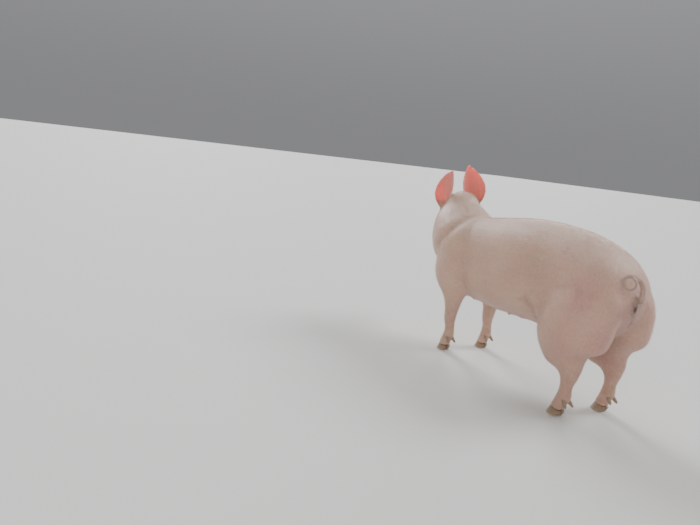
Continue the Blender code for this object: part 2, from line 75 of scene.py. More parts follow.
# The head's own frame starts at the snout's disc: X to its left, Y back along it and Z up.
HEAD_TURN, HEAD_NOD, HEAD_ROLL = math.radians(36), math.radians(27), math.radians(13)
EYES_IN_HEAD = Vector((0.0, 0.1341, 0.0354))
EYE_RADIUS = 0.0105
EYE_LOOKS = Vector((0.88, -0.40, 0.24))
LID_HALF_LENGTH, LID_HALF_HEIGHT = 0.0092, 0.0056
LID_THICKNESS = 0.0014
NOSTRIL = Vector((0.0105, -0.002, 0.001))
NOSTRIL_RADII, NOSTRIL_DEPTH, NOSTRIL_TURN = (0.0040, 0.0058), 0.0085, (0.94, 0.34)
DISC_RADII = (0.0295, 0.0248)
WRINKLES_START, WRINKLE_STEP, WRINKLE_HEIGHT = 0.0215, 0.0078, 0.00050
# The mouth's groove and the lips beside it: half width, and depth or height.
GROOVE_WIDTH, GROOVE_DEPTH = 0.0019, 0.0050
LIP_PLACE, LIP_WIDTH, LIP_HEIGHT = 0.0062, 0.0036, 0.0014

# The ear, as in the solids: the way along, the width of the leaf, and the angle that it is rolled through.
EAR_PROFILE = (
    (-0.10, 0.44, 290),
    (0.00, 0.53, 258),
    (0.12, 0.69, 205),
    (0.28, 0.78, 150),
    (0.45, 0.77, 118),
    (0.62, 0.65, 100),
    (0.78, 0.46, 88),
    (0.90, 0.25, 80),
    (0.97, 0.11, 70),
    (1.00, 0.04, 60),
)
EAR_LENGTH = 0.150
EAR_THICKNESS = 0.0052
EAR_CUP = 0.012
EAR_SET_IN = 0.009
EAR_RIM_THINNING = 0.45
EAR_TIP_THINNING = 0.35
EAR_LEAST = 0.0036
EAR_IN_HEAD = Vector((0.052, 0.197, 0.058))
# How each ear leans in and back, and the way that it opens, in degrees.
EAR_HOLD = {"left": (22, 47, 38), "right": (8, 30, 74)}
# The veins on its back: where one starts across the leaf, how it leans, and how it winds.
EAR_VEINS = ((-0.55, -0.25, 0.3), (-0.18, -0.12, -0.2), (0.15, 0.10, 0.25), (0.52, 0.30, -0.3))

# The line of the lips in the head's frame, from the snout to the corner of the mouth.
MOUTH = (
    (0.000, 0.0150, -0.0255),
    (0.014, 0.0180, -0.0245),
    (0.022, 0.0320, -0.0235),
    (0.029, 0.0540, -0.0245),
    (0.034, 0.0760, -0.0265),
    (0.039, 0.0960, -0.0275),
    (0.045, 0.1120, -0.0240),
)

# How far back of the disc the head is sculpted.
HEAD_REACH = 0.30

# Soft swellings of a side of the head: where, reach, height. And its creases: a line, width, depth.
HEAD_SWELLINGS = (
    ((0.040, 0.150, 0.052), 0.016, 0.0018),
    ((0.045, 0.128, 0.010), 0.014, -0.0012),
    ((0.062, 0.180, -0.020), 0.034, 0.0034),
    ((0.050, 0.215, -0.070), 0.032, 0.0030),
    ((0.034, 0.100, 0.016), 0.020, -0.0010),
)
HEAD_CREASES = (
    (((0.038, 0.104, 0.018), (0.046, 0.120, 0.000), (0.054, 0.142, -0.018)), 0.0062, 0.0014),
    (((0.053, 0.150, 0.018), (0.060, 0.168, 0.012), (0.066, 0.186, 0.014)), 0.0045, 0.0010),
    (((0.022, 0.118, 0.052), (0.030, 0.136, 0.056), (0.036, 0.158, 0.062)), 0.0034, 0.0008),
    (((0.050, 0.196, -0.080), (0.068, 0.214, -0.048), (0.074, 0.224, -0.010)), 0.0080, 0.0024),
)

# The pig's own middle plane, and what lies on or beside it.
MIDDLE = 0.0205
ANUS = (MIDDLE + 0.001, 0.4349, 0.3245)
TAIL_ROOT = (MIDDLE, 0.4364, 0.3510)
TEAT_PAIRS, TEAT_FIRST, TEAT_STEP, TEAT_APART = 7, -0.075, 0.052, 0.047
TEAT_HEIGHT, TEAT_WIDTH = 0.0052, 0.0030
TEAT_MOUND_HEIGHT, TEAT_MOUND_WIDTH = 0.0016, 0.0075

# Creases of the body: a line on its left side, width, depth, and whether its right side has it too.
BODY_CREASES = (
    (
        ((0.020, -0.158, 0.476), (0.071, -0.154, 0.466), (0.106, -0.152, 0.445), (0.133, -0.171, 0.413),
         (0.142, -0.205, 0.372), (0.138, -0.235, 0.330)),
        0.0180, 0.0032, False,
    ),
    (((0.130, 0.180, 0.300), (0.124, 0.187, 0.270), (0.107, 0.197, 0.243), (0.080, 0.205, 0.218)),
     0.0150, 0.0032, True),
    (((-0.085, -0.210, 0.475), (-0.104, -0.222, 0.425), (-0.104, -0.225, 0.370), (-0.085, -0.225, 0.320)),
     0.0090, 0.0040, False),
    (((-0.080, -0.255, 0.470), (-0.106, -0.258, 0.430), (-0.108, -0.262, 0.385), (-0.090, -0.262, 0.340)),
     0.0080, 0.0036, False),
    (((0.100, 0.262, 0.446), (0.106, 0.270, 0.441), (0.108, 0.280, 0.440)), 0.0024, 0.0008, False),
    (((0.112, 0.262, 0.438), (0.117, 0.272, 0.433), (0.118, 0.284, 0.432)), 0.0024, 0.0008, False),
    (((0.108, 0.292, 0.438), (0.115, 0.300, 0.430), (0.117, 0.310, 0.424)), 0.0024, 0.0007, False),
    (((0.020, 0.436, 0.312), (0.019, 0.432, 0.285), (0.019, 0.425, 0.262)), 0.0060, 0.0030, False),
)

# Broad swellings and hollows of both sides of the body: where, reach, height.
BODY_SWELLINGS = (
    ((0.132, 0.190, 0.390), 0.066, -0.0034),
    ((0.138, 0.120, 0.300), 0.060, 0.0022),
    ((0.130, -0.078, 0.268), 0.034, -0.0050),
    ((0.140, -0.130, 0.380), 0.045, 0.0020),
    ((0.150, 0.350, 0.270), 0.060, 0.0015),
    ((0.140, 0.060, 0.300), 0.080, 0.0015),
)

# How finely the claws are rounded, how far a dewclaw reaches out of its leg, and how finely it is drawn.
CLAW_VOXEL, CLAW_RING_STEP = 0.0009, 0.0031
DEWCLAW_REACH = 0.0215
DEWCLAW_RINGS, DEWCLAW_SIDES = 34, 40

# Colours.
SKIN_BASE = (0.64, 0.422, 0.325)
# The colour of the painted sheen on the top of the back.
PAINTED_SHEEN = (0.72, 0.56, 0.49)
SKIN_ROSE = (0.54, 0.270, 0.240)
# The colour of the painted shade on the underside of the belly.
BELLY_SHADE = (0.56, 0.38, 0.31)
# Browner low on the legs: partly dirt, partly painted shade.
LEG_DIRT_AND_SHADE = (0.42, 0.265, 0.19)
# The colour of the painted shade between the hams.
THIGH_SHADE = (0.36, 0.22, 0.17)
SKIN_DISC = (0.56, 0.275, 0.250)
SKIN_LID = (0.52, 0.29, 0.26)
SKIN_EAR = (0.78, 0.33, 0.275)
SKIN_BOWL = (0.48, 0.23, 0.20)
SKIN_TAIL = (0.36, 0.25, 0.215)
SKIN_ANUS = (0.085, 0.035, 0.030)
# The colour of the painted shade in the skin's folds and hollows.
FOLD_SHADE = (0.34, 0.17, 0.135)
EYE_WHITE, EYE_PINK = (0.62, 0.50, 0.46), (0.45, 0.20, 0.17)
EYE_LIMBUS, EYE_IRIS, EYE_PUPIL = (0.025, 0.014, 0.010), (0.085, 0.042, 0.020), (0.003, 0.003, 0.003)
HORN, HORN_PALE, HORN_DARK = (0.30, 0.21, 0.145), (0.46, 0.36, 0.26), (0.17, 0.105, 0.075)
BRISTLE_COLOUR = (0.84, 0.74, 0.63)
BRISTLE_PALENESS = 0.46

# The eyeball's cornea, as an angle, and its iris and pupil.
CORNEA, IRIS_RADIUS, PUPIL_RADII = math.radians(36), 0.0060, (0.0032, 0.0021)
CORNEA_BULGE = 0.0006
EYE_SIDES, EYE_RINGS = 96, 60

# The bristles.
BRISTLES = 210_000
LASHES, LASHES_ABOVE = 70, 0.72
UPPER_LASH, LOWER_LASH, LASH_HALF_WIDTH = 0.0075, 0.0042, 0.00011
COAT_PIECES = 4
BRISTLE_WIDTH = 0.00022
BRISTLE_RISE = (9, 26)
STRAY_SHARE, STRAY_RISE = 0.06, 0.35
# A bristle's length, and how much longer or shorter it is in places.
BRISTLE_LENGTH = 0.0105
LONGER_ON_BACK, SHORTER_ON_FACE, SHORTER_ON_FEET, SHORTER_ON_EARS = 0.003, 0.0060, 0.0045, 0.0040

# A blade's triangles, and its patch on the coat's map, corner by corner.
PATCH = 0.003
BLADE_FACES = ((0, 1, 2), (0, 2, 3), (3, 2, 4))
BLADE_PATCH = np.array([(-1, -1), (1, -1), (0.8, 0), (-0.8, 0), (0, 1)]) * PATCH / 2

# Where each part is rolled out on the coat's map: left, bottom, right, top.
CHARTS = {
    "trunk": (0.01, 0.40, 0.99, 0.99),
    "neck": (0.01, 0.40, 0.99, 0.99),
    "head": (0.01, 0.21, 0.50, 0.39),
    "snout": (0.01, 0.21, 0.50, 0.39),
    "ear_left": (0.52, 0.21, 0.74, 0.39),
    "ear_right": (0.76, 0.21, 0.99, 0.39),
    "tail": (0.84, 0.01, 0.99, 0.19),
    "foreleg_left": (0.01, 0.01, 0.20, 0.19),
    "foreleg_right": (0.22, 0.01, 0.41, 0.19),
    "hind_leg_left": (0.43, 0.01, 0.62, 0.19),
    "hind_leg_right": (0.64, 0.01, 0.82, 0.19),
}

# The stage: its floor, how the sky's strength rises with height (from, to, low, high), and the lights, each
# with its place, what it points at, its width there, strength and colour.
FLOOR_REACH, FLOOR_COLOUR = 60.0, (0.56, 0.545, 0.52)
SKY_RISE, SKY_COLOUR = (0.0, 0.6, 0.25, 0.44), (0.97, 0.98, 1.0)
LIGHTS = (
    ("window", (-0.9, -5.4, 3.14), (0, 0, 0.35), 2.9, 3.7, (0.92, 0.96, 1.0)),
    ("rim", (-4.5, -4.22, 1.71), (0, 0.1, 0.45), 2.6, 1.5, (0.93, 0.97, 1.0)),
    ("top", (-2.85, 0.85, 2.98), (0, 0.1, 0.35), 1.8, 2.7, (0.93, 0.97, 1.0)),
    ("fill", (2.4, 1.4, 1.6), (0, 0, 0.3), 2.2, 0.95, (1.0, 0.92, 0.82)),
)

# The camera of the photo, in the frame.
CAMERA_PLACE = Vector((1.3002, 1.1835, 0.6205))
CAMERA_HEADING, CAMERA_DROP, CAMERA_ROLL = math.radians(-30.5), math.radians(11.5), math.radians(6.9)
SENSOR_WIDTH, FOCAL_LENGTH = 36.0, 27.3

rng = np.random.default_rng(7)


# ---------------------------------------------------------------- meshes as arrays


def read(items, name, width, kind=float):
    found = np.empty(len(items) * width, kind)
    items.foreach_get(name, found)
    return found.reshape(-1, width)


def new_mesh(name, points, faces):
    made = bpy.data.meshes.new(name)
    faces = np.asarray(faces)
    made.vertices.add(len(points))
    made.vertices.foreach_set("co", np.ascontiguousarray(points, np.float32).ravel())
    count = len(faces)
    made.loops.add(faces.size)
    made.loops.foreach_set("vertex_index", faces.astype(np.int32).ravel())
    made.polygons.add(count)
    made.polygons.foreach_set("loop_start", np.arange(count, dtype=np.int32) * faces.shape[1])
    made.update(calc_edges=True)
    return made


def new_object(name, mesh):
    made = bpy.data.objects.new(name, mesh)
    bpy.context.scene.collection.objects.link(made)
    return made


def applied(mesh, kind, **settings):
    """The mesh with one modifier applied. A vertex group's weights may come as an array."""
    weights = settings.pop("weights", None)
    holder = new_object("holder", mesh)
    change = holder.modifiers.new("change", kind)
    for name, value in settings.items():
        setattr(change, name, value)
    if weights is not None:
        group = holder.vertex_groups.new(name="weights")
        steps = np.round(weights * 20)
        for level in range(1, 21):
            group.add(np.nonzero(steps == level)[0].tolist(), level / 20, "REPLACE")
        change.vertex_group = "weights"
    graph = bpy.context.evaluated_depsgraph_get()
    made = bpy.data.meshes.new_from_object(holder.evaluated_get(graph))
    bpy.data.objects.remove(holder)
    return made


def joined(meshes):
    work = bmesh.new()
    for mesh in meshes:
        work.from_mesh(mesh)
    return from_bmesh(work, "joined")


def from_bmesh(work, name):
    """The bmesh as a mesh. It ends the bmesh."""
    made = bpy.data.meshes.new(name)
    work.to_mesh(made)
    work.free()
    return made


def woven(rows, columns):
    """The quads between the rows of a grid whose columns run round."""
    grid = np.arange(rows * columns).reshape(rows, columns)
    lower, upper = grid[:-1], grid[1:]
    quads = [lower, np.roll(lower, -1, 1), np.roll(upper, -1, 1), upper]
    return np.stack(quads, axis=-1).reshape(-1, 4)


def tiled(colour, count):
    return np.tile(np.array(colour), (count, 1))


def unit(vectors):
    return vectors / np.maximum(np.linalg.norm(vectors, axis=-1, keepdims=True), 1e-12)


def fade(values, start, end):
    """From 0 at start to 1 at end, smoothly."""
    t = np.clip((values - start) / (end - start), 0, 1)
    return t * t * (3 - 2 * t)


def hump(values, width):
    return np.exp(-((values / width) ** 2))


class Surface:
    """A closed mesh of triangles, as arrays that can be smoothed, measured and pushed about."""

    def __init__(self, mesh):
        self.points = read(mesh.vertices, "co", 3)
        mesh.calc_loop_triangles()
        self.faces = read(mesh.loop_triangles, "vertices", 3, np.int32)
        f = self.faces
        pairs = np.vstack([f[:, [0, 1]], f[:, [1, 2]], f[:, [2, 0]]])
        pairs = pairs[np.argsort(pairs[:, 0], kind="stable")]
        self.neighbours = pairs[:, 1]
        self.first = np.searchsorted(pairs[:, 0], np.arange(len(self.points)))
        self.count = np.bincount(pairs[:, 0], minlength=len(self.points))[:, None]

    def around(self, values):
        """The mean over each point's neighbours."""
        total = np.add.reduceat(values[self.neighbours], self.first, axis=0)
        return total / self.count.reshape(-1, *(1,) * (values.ndim - 1))

    def normals(self):
        corners = self.points[self.faces]
        across = np.cross(corners[:, 1] - corners[:, 0], corners[:, 2] - corners[:, 0])
        total = np.zeros_like(self.points)
        for axis in range(3):
            for corner in range(3):
                total[:, axis] += np.bincount(
                    self.faces[:, corner], weights=across[:, axis], minlength=len(total)
                )
        return unit(total)

    def smooth(self, rounds, share=0.5, give_back=0.0):
        """Moves points towards their neighbours' mean, then, if asked, some of the way back out."""
        share = np.asarray(share).reshape(-1, 1)
        for _ in range(rounds):
            self.points += share * (self.around(self.points) - self.points)
            if give_back:
                self.points -= give_back * share * (self.around(self.points) - self.points)

    def blurred(self, values, rounds):
        for _ in range(rounds):
            values = 0.5 * values + 0.5 * self.around(values)
        return values

    def push(self, amounts):
        """Moves the points out along the normals."""
        self.points += self.normals() * np.asarray(amounts).reshape(-1, 1)

    def mesh(self, name):
        made = new_mesh(name, self.points, self.faces)
        made.shade_smooth()
        return made


# ---------------------------------------------------------------- places


def centre_of(node):
    low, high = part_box(node)
    return (Vector(low) + Vector(high)) / 2


def head_frame():
    """From the head's own frame to the pig's, hung on the two eyes."""
    turn = Matrix.Rotation(-HEAD_TURN, 4, "Z") @ Matrix.Rotation(HEAD_NOD, 4, "X")
    turn = turn @ Matrix.Rotation(HEAD_ROLL, 4, "Y")
    between = (centre_of("eye_left") + centre_of("eye_right")) / 2
    return Matrix.Translation(between) @ turn @ Matrix.Translation(-EYES_IN_HEAD)


HEAD = head_frame()


def in_frame(points, place):
    """Points of the pig in the frame that the matrix places."""
    back = np.array(place.inverted())
    return points @ back[:3, :3].T + back[:3, 3]


def out_of_frame(points, place):
    """Points in the frame that the matrix places, as points of the pig."""
    matrix = np.array(place)
    return points @ matrix[:3, :3].T + matrix[:3, 3]


def eye_frame(side):
    """An eye's frame: X along the lids towards the ear, Y up across them, Z out."""
    sign = SIDES[side]
    out = (HEAD.to_3x3() @ Vector((sign * EYE_LOOKS.x, EYE_LOOKS.y, EYE_LOOKS.z))).normalized()
    along = HEAD.to_3x3() @ Vector((0, 1.0, 0.16))
    along = (along - out * along.dot(out)).normalized()
    up = out.cross(along) * sign
    turn = Matrix((along, up, out)).transposed().to_4x4()
    return Matrix.Translation(centre_of("eye_" + side)) @ turn


def ear_frame(side):
    """An ear's frame: Z from its root to its tip, and X the way that it opens."""
    sign = SIDES[side]
    lean_in, lean_back, opening = (math.radians(angle) for angle in EAR_HOLD[side])
    lean = Matrix.Rotation(-sign * lean_in, 4, "Y") @ Matrix.Rotation(-lean_back, 4, "X")
    turn = Matrix.Rotation(math.atan2(math.sin(opening), sign * math.cos(opening)), 4, "Z")
    root = Vector((sign * EAR_IN_HEAD.x, EAR_IN_HEAD.y, EAR_IN_HEAD.z))
    return HEAD @ Matrix.Translation(root) @ lean @ turn


# ---------------------------------------------------------------- the skin's ground form


def grown_node(name, by):
    work = bmesh.new()
    work.from_mesh(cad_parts[name].data)
    bmesh.ops.remove_doubles(work, verts=work.verts, dist=1e-5)
    work.normal_update()
    for vert in work.verts:
        vert.co += vert.normal * by
    return from_bmesh(work, name)


def ball(place, radii, segments=32):
    work = bmesh.new()
    place = place @ Matrix.Diagonal((*radii, 1.0))
    bmesh.ops.create_uvsphere(work, u_segments=segments, v_segments=segments // 2, radius=1.0, matrix=place)
    return from_bmesh(work, "ball")


def flesh_form():
    """The flesh melted into one, with the sockets and nostrils filled and the facets smoothed away."""
    solids = [grown_node(name, NODE_OVERLAP) for name in FLESH]
    for side, sign in SIDES.items():
        socket = eye_frame(side) @ Matrix.Translation((0, 0, -SOCKET_SET_IN))
        solids.append(ball(socket, (EYE_RADIUS + SOCKET_FILL,) * 3))
        plug = Matrix.Translation((sign * NOSTRIL.x, NOSTRIL.y + NOSTRIL_SET_IN, NOSTRIL.z))
        solids.append(ball(HEAD @ plug, NOSTRIL_FILL))
    form = Surface(applied(joined(solids), "REMESH", mode="VOXEL", voxel_size=FIRST_VOXEL))
    from_disc = np.linalg.norm(form.points - np.array(HEAD.translation), axis=1)
    tail_low, tail_high = (np.array(corner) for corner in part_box("tail"))
    by_tail = np.all((form.points > tail_low - 0.002) & (form.points < tail_high + 0.002), axis=1)
    share = 0.06 + 0.44 * fade(form.points[:, 2], 0.03, 0.15) * fade(from_disc, 0.04, 0.16)
    share = np.where(by_tail, 0.10, share)
    form.smooth(FLESH_ROUNDS, share, give_back=0.6)
    return form.mesh("flesh")


def ear_form(side, rings_along=90, strips=64):
    """The ear's leaf, rolled into a funnel at its base, with a rounded rim and ridges inside."""
    table = np.array(EAR_PROFILE)
    u = np.linspace(table[0, 0], 1, rings_along + 1)[:, None]
    width = EAR_LENGTH * np.interp(u, table[:, 0], table[:, 1])
    roll = np.radians(np.interp(u, table[:, 0], table[:, 2]))
    radius = width / roll
    set_in = EAR_SET_IN * np.maximum(1 - u / 0.3, 0) ** 2
    v = np.linspace(-1, 1, strips + 1)[None, :]
    rim = 1 - EAR_RIM_THINNING * abs(v) ** 3
    thickness = np.maximum(EAR_THICKNESS * rim * (1 - EAR_TIP_THINNING * np.maximum(u, 0)), EAR_LEAST)
    ways = np.stack([-np.cos(v * roll / 2), np.sin(v * roll / 2), 0 * v * roll], axis=-1)
    middle = np.stack([radius + EAR_CUP * u * u - set_in, 0 * u, EAR_LENGTH * u], axis=-1)
    outer = middle + ways * radius[..., None]
    inner = middle + ways * np.maximum(radius - thickness, 0.15 * radius)[..., None]
    rings = np.concatenate([outer, inner[:, ::-1]], axis=1)
    work = bmesh.new()
    work.from_mesh(new_mesh("ear", rings.reshape(-1, 3), woven(*rings.shape[:2])))
    bmesh.ops.holes_fill(work, edges=work.edges, sides=0)
    bmesh.ops.recalc_face_normals(work, faces=work.faces)
    made = from_bmesh(work, "ear")
    made.transform(ear_frame(side))
    return made


def nearest_node(points, names):
    """The index in names of the solid that is nearest to each point."""
    corners, faces, owners = [], [], []
    start = 0
    for index, name in enumerate(names):
        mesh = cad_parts[name].data
        mesh.calc_loop_triangles()
        triangles = read(mesh.loop_triangles, "vertices", 3, np.int32)
        corners.append(read(mesh.vertices, "co", 3))
        faces.append(triangles + start)
        owners.append(np.full(len(triangles), index))
        start += len(mesh.vertices)
    owners = np.concatenate(owners)
    tree = BVHTree.FromPolygons(np.vstack(corners).tolist(), np.vstack(faces).tolist())
    return owners[[tree.find_nearest(point)[2] for point in points.tolist()]]


def skin_form():
    """The flesh and ears as one surface, with fewer points on the trunk than on the head and feet."""
    whole = joined([flesh_form(), ear_form("left"), ear_form("right")])
    whole = applied(whole, "REMESH", mode="VOXEL", voxel_size=VOXEL)
    points = read(whole.vertices, "co", 3)
    from_eyes = np.linalg.norm(points - np.array(HEAD @ EYES_IN_HEAD), axis=1)
    by_tail = fade(np.linalg.norm(points - np.array(centre_of("tail")), axis=1), 0.05, 0.09)
    plain = 0.15 + 0.85 * fade(from_eyes, 0.16, 0.26) * fade(points[:, 2], 0.06, 0.16) * by_tail
    ratio = SKIN_TRIANGLES / (2 * len(whole.polygons))
    return applied(whole, "DECIMATE", ratio=ratio, weights=plain, vertex_group_factor=0.5)


def refined(mesh, chosen):
    """The mesh with its triangles cut in four wherever chosen(points) is true."""
    points = read(mesh.vertices, "co", 3)
    keep = chosen(points)
    work = bmesh.new()
    work.from_mesh(mesh)
    work.verts.ensure_lookup_table()
    edges = [edge for edge in work.edges if keep[edge.verts[0].index] and keep[edge.verts[1].index]]
    bmesh.ops.subdivide_edges(work, edges=edges, cuts=1, use_grid_fill=True)
    bmesh.ops.triangulate(work, faces=[face for face in work.faces if len(face.verts) > 3])
    work.to_mesh(mesh)
    work.free()
    return mesh


def near(place, reach):
    middle = np.array(place.translation if isinstance(place, Matrix) else place)
    return lambda points: np.linalg.norm(points - middle, axis=1) < reach


def refine_face(mesh):
    """Smaller triangles where the lids, nostrils and mouth are cut."""
    for side in SIDES:
        mesh = refined(mesh, near(eye_frame(side), 0.026))
        mesh = refined(mesh, near(eye_frame(side), 0.019))
    mesh = refined(mesh, near(HEAD @ Vector((0, 0.045, 0)), 0.075))
    return refined(mesh, near(HEAD @ Vector((0, 0, 0)), 0.030))


# ---------------------------------------------------------------- sculpting


def along_line(points, line):
    """How far each point is from a line through places, and how far along it, from 0 to 1."""
    line = np.array([tuple(place) for place in line], float)
    steps = np.linalg.norm(np.diff(line, axis=0), axis=1)
    starts = np.concatenate([[0], np.cumsum(steps)]) / steps.sum()
    least = np.full(len(points), np.inf)
    way = np.zeros(len(points))
    for i, (a, b) in enumerate(zip(line, line[1:])):
        t = np.clip((points - a) @ (b - a) / steps[i] ** 2, 0, 1)
        away = np.linalg.norm(points - (a + t[:, None] * (b - a)), axis=1)
        closer = away < least
        least[closer] = away[closer]
        way[closer] = starts[i] + t[closer] * (starts[i + 1] - starts[i])
    return least, way


def laid_on(points, line):
    """A smooth curve through the line's places, brought to the nearest of the surface's points."""
    laid = np.array([points[np.argmin(((points - place) ** 2).sum(axis=1))] for place in curve_through(line)])
    for _ in range(4):
        laid[1:-1] = (laid[:-2] + 2 * laid[1:-1] + laid[2:]) / 4
    return laid


def crease(points, line, width, depth, banks=0.35):
    """Amounts that cut a crease along a line, with raised banks, fading out at both its ends."""
    away, way = along_line(points, laid_on(points, line))
    ends = fade(way, 0.0, 0.18) * fade(1 - way, 0.0, 0.18)
    return depth * ends * (banks * hump(away - 2.0 * width, width) - hump(away, width))


def curve_through(places, steps=8):
    """A smooth curve through a few places, as short straight steps."""
    p = np.array([tuple(place) for place in places], float)
    if len(p) < 3:
        return p
    slope = np.gradient(p, axis=0)
    t = (np.arange(steps) / steps)[:, None]
    made = []
    for i in range(len(p) - 1):
        a, b = 2 * t**3 - 3 * t**2 + 1, t**3 - 2 * t**2 + t
        c, d = -2 * t**3 + 3 * t**2, t**3 - t**2
        made.append(a * p[i] + b * slope[i] + c * p[i + 1] + d * slope[i + 1])
    return np.vstack(made + [p[-1:]])


def ripple(points, length, count=24, seed=1):
    """Soft unevenness of about the given wave length, between about -1 and 1."""
    waves = np.random.default_rng(seed)
    ways = unit(waves.normal(size=(count, 3))) * (2 * math.pi / length)
    ways *= waves.uniform(0.7, 1.3, (count, 1))
    total = np.sin(points @ ways.T + waves.uniform(0, 2 * math.pi, count)).mean(axis=1)
    return total * math.sqrt(count) / 1.6


def mirrored(places):
    return [(2 * MIDDLE - x, y, z) for x, y, z in places]


def sculpt_body(skin):
    """The dips and folds of the trunk, neck and rump."""
    points = skin.points
    amount = 0.0009 * ripple(points, 0.16, seed=3) * fade(points[:, 2], 0.16, 0.26)
    for line, width, depth, both in BODY_CREASES:
        amount += crease(points, line, width, depth)
        if both:
            amount += crease(points, mirrored(line), width, depth)
    for place, reach, height in BODY_SWELLINGS:
        for spot in (place, mirrored([place])[0]):
            amount += height * hump(np.linalg.norm(points - np.array(spot), axis=1), reach)
    spine = hump(points[:, 0] - MIDDLE, 0.012) * fade(points[:, 2], 0.42, 0.46)
    amount -= 0.0012 * spine * fade(points[:, 1], -0.12, 0.0) * fade(-points[:, 1], -0.40, -0.30)
    skin.push(amount)


def sculpt_rump(skin):
    """The anus under the tail with the wrinkles round it, and the wrinkles round the tail's root."""
    points = skin.points
    away = np.linalg.norm((points - np.array(ANUS)) * (1.15, 1.0, 0.85), axis=1)
    angle = np.arctan2(points[:, 2] - ANUS[2], points[:, 0] - ANUS[0])
    amount = 0.0022 * hump(away - 0.010, 0.005) - 0.0060 * hump(away, 0.0042)
    amount += 0.0005 * np.cos(11 * angle) * hump(away - 0.007, 0.004)
    root = np.linalg.norm(points - np.array(TAIL_ROOT), axis=1)
    amount -= 0.0011 * hump(root - 0.0165, 0.0022) + 0.0007 * hump(root - 0.0225, 0.002)
    skin.push(amount)


def sculpt_teats(skin):
    points = skin.points
    normals = skin.normals()
    amount = np.zeros(len(points))
    for k in range(TEAT_PAIRS):
        y = TEAT_FIRST + TEAT_STEP * k
        for sign in (1, -1):
            x = MIDDLE + sign * (TEAT_APART + 0.0015 * math.sin(2.3 * k + sign))
            away = np.hypot(points[:, 0] - x, points[:, 1] - y - 0.003 * sign * (k % 2))
            down = fade(-normals[:, 2], 0.2, 0.5)
            mound = TEAT_MOUND_HEIGHT * hump(away, TEAT_MOUND_WIDTH)
            amount += down * (TEAT_HEIGHT * hump(away, TEAT_WIDTH) + mound)
    skin.push(amount)


def lids(skin, side):
    """Opens the skin over the eyeball, with a thick upper and lower lid and their creases."""
    place = eye_frame(side)
    local = in_frame(skin.points, place)
    a, b, c = local.T
    chosen = (np.linalg.norm(local, axis=1) < 0.034) & (c > -0.002)
    a, b, c = a[chosen], b[chosen], c[chosen]
    bow = np.maximum(1 - (a / LID_HALF_LENGTH) ** 2, 0)
    upper, lower = LID_HALF_HEIGHT * bow**0.75, -0.78 * LID_HALF_HEIGHT * bow**0.85
    past_end = np.maximum(abs(a) - LID_HALF_LENGTH, 0)
    s = np.maximum(b - upper, lower - b)
    s = np.where(past_end > 0, np.hypot(past_end, b), s)
    from_middle = np.hypot(a, b)
    ball_top = np.sqrt(np.maximum(EYE_RADIUS**2 - a * a - b * b, 0))
    c = c + 0.0030 * np.exp(-((a / 0.0125) ** 2) - (b / 0.0105) ** 2) * fade(s, -0.001, 0.001)
    over_ball = np.maximum(c, ball_top + LID_THICKNESS)
    c = np.where(from_middle < EYE_RADIUS, c + (over_ball - c) * (1 - fade(s, 0.003, 0.006)), c)
    above = fade(b, -0.0010, 0.0020)
    width_fade = 1 - fade(abs(a), 0.009, 0.017)
    c -= width_fade * above * (0.0010 * hump(s - 0.0046, 0.0013) + 0.0006 * hump(s - 0.0084, 0.0014))
    c -= width_fade * (1 - above) * (0.0007 * hump(s - 0.0040, 0.0012) + 0.0004 * hump(s - 0.0072, 0.0013))
    inside = ball_top - 0.0022
    c = inside + (c - inside) * fade(s, -0.0007, 0.0004)
    skin.points[chosen] = out_of_frame(np.stack([a, b, c], axis=1), place)


def sculpt_snout(skin):
    """The disc with its rim and nostrils, the wrinkles behind it, and the line of the mouth."""
    head = in_frame(skin.points, HEAD)
    x, y, z = head.T
    normals = skin.normals() @ np.array(HEAD)[:3, :3]
    round_disc = np.hypot(x / DISC_RADII[0], z / DISC_RADII[1])
    cosine, sine = NOSTRIL_TURN
    front = fade(-normals[:, 1], 0.35, 0.75) * (y < 0.02)
    y_move = -0.0011 * front * hump(round_disc - 0.86, 0.10) + 0.0007 * front * hump(round_disc - 0.62, 0.14)
    y_move += 0.0006 * front * hump(x, 0.0022) * (1 - fade(abs(z), 0.010, 0.016))
    for sign in (1, -1):
        across, up = sign * x - NOSTRIL.x, z - NOSTRIL.z
        across, up = across * cosine - up * sine, up * cosine + across * sine
        hole = np.hypot(across / NOSTRIL_RADII[0], up / NOSTRIL_RADII[1])
        y_move += front * (NOSTRIL_DEPTH * (1 - fade(hole, 0.45, 1.05)) - 0.0010 * hump(hole - 1.45, 0.35))
    near_snout = (y < 0.12) & (abs(x) < 0.05) & (abs(z) < 0.06)
    amount = np.where(near_snout, -0.0020 * hump(y - 0.0150, 0.0030) * (1 - front), 0)
    bent = y + 5.0 * x * x
    wave = np.cos(2 * math.pi * (bent - WRINKLES_START) / WRINKLE_STEP) - 0.4
    on_top = fade(normals[:, 2], 0.0, 0.7) * fade(y, 0.017, 0.024) * (1 - fade(y, 0.050, 0.095))
    amount += np.where(near_snout, WRINKLE_HEIGHT * on_top * wave, 0)
    for sign in (1, -1):
        lips = [(sign * w, back, drop) for w, back, drop in MOUTH]
        away, way = along_line(head, laid_on(head, lips))
        sides = 1 - fade(way, 0.90, 1.0)
        lip = LIP_HEIGHT * hump(away - LIP_PLACE, LIP_WIDTH)
        amount += sides * (lip - GROOVE_DEPTH * hump(away, GROOVE_WIDTH))
    skin.points += y_move[:, None] * np.array(HEAD)[:3, 1]
    skin.push(amount)


def sculpt_head(skin):
    """The brow, cheek and jowl, and the folds where the head turns on the neck."""
    head = in_frame(skin.points, HEAD)
    amount = np.zeros(len(head))
    for sign in (1, -1):
        for (w, back, up), reach, height in HEAD_SWELLINGS:
            amount += height * hump(np.linalg.norm(head - (sign * w, back, up), axis=1), reach)
        for line, width, depth in HEAD_CREASES:
            amount += crease(head, [(sign * w, back, up) for w, back, up in line], width, depth)
    skin.push(np.where(head[:, 1] < HEAD_REACH, amount, 0))


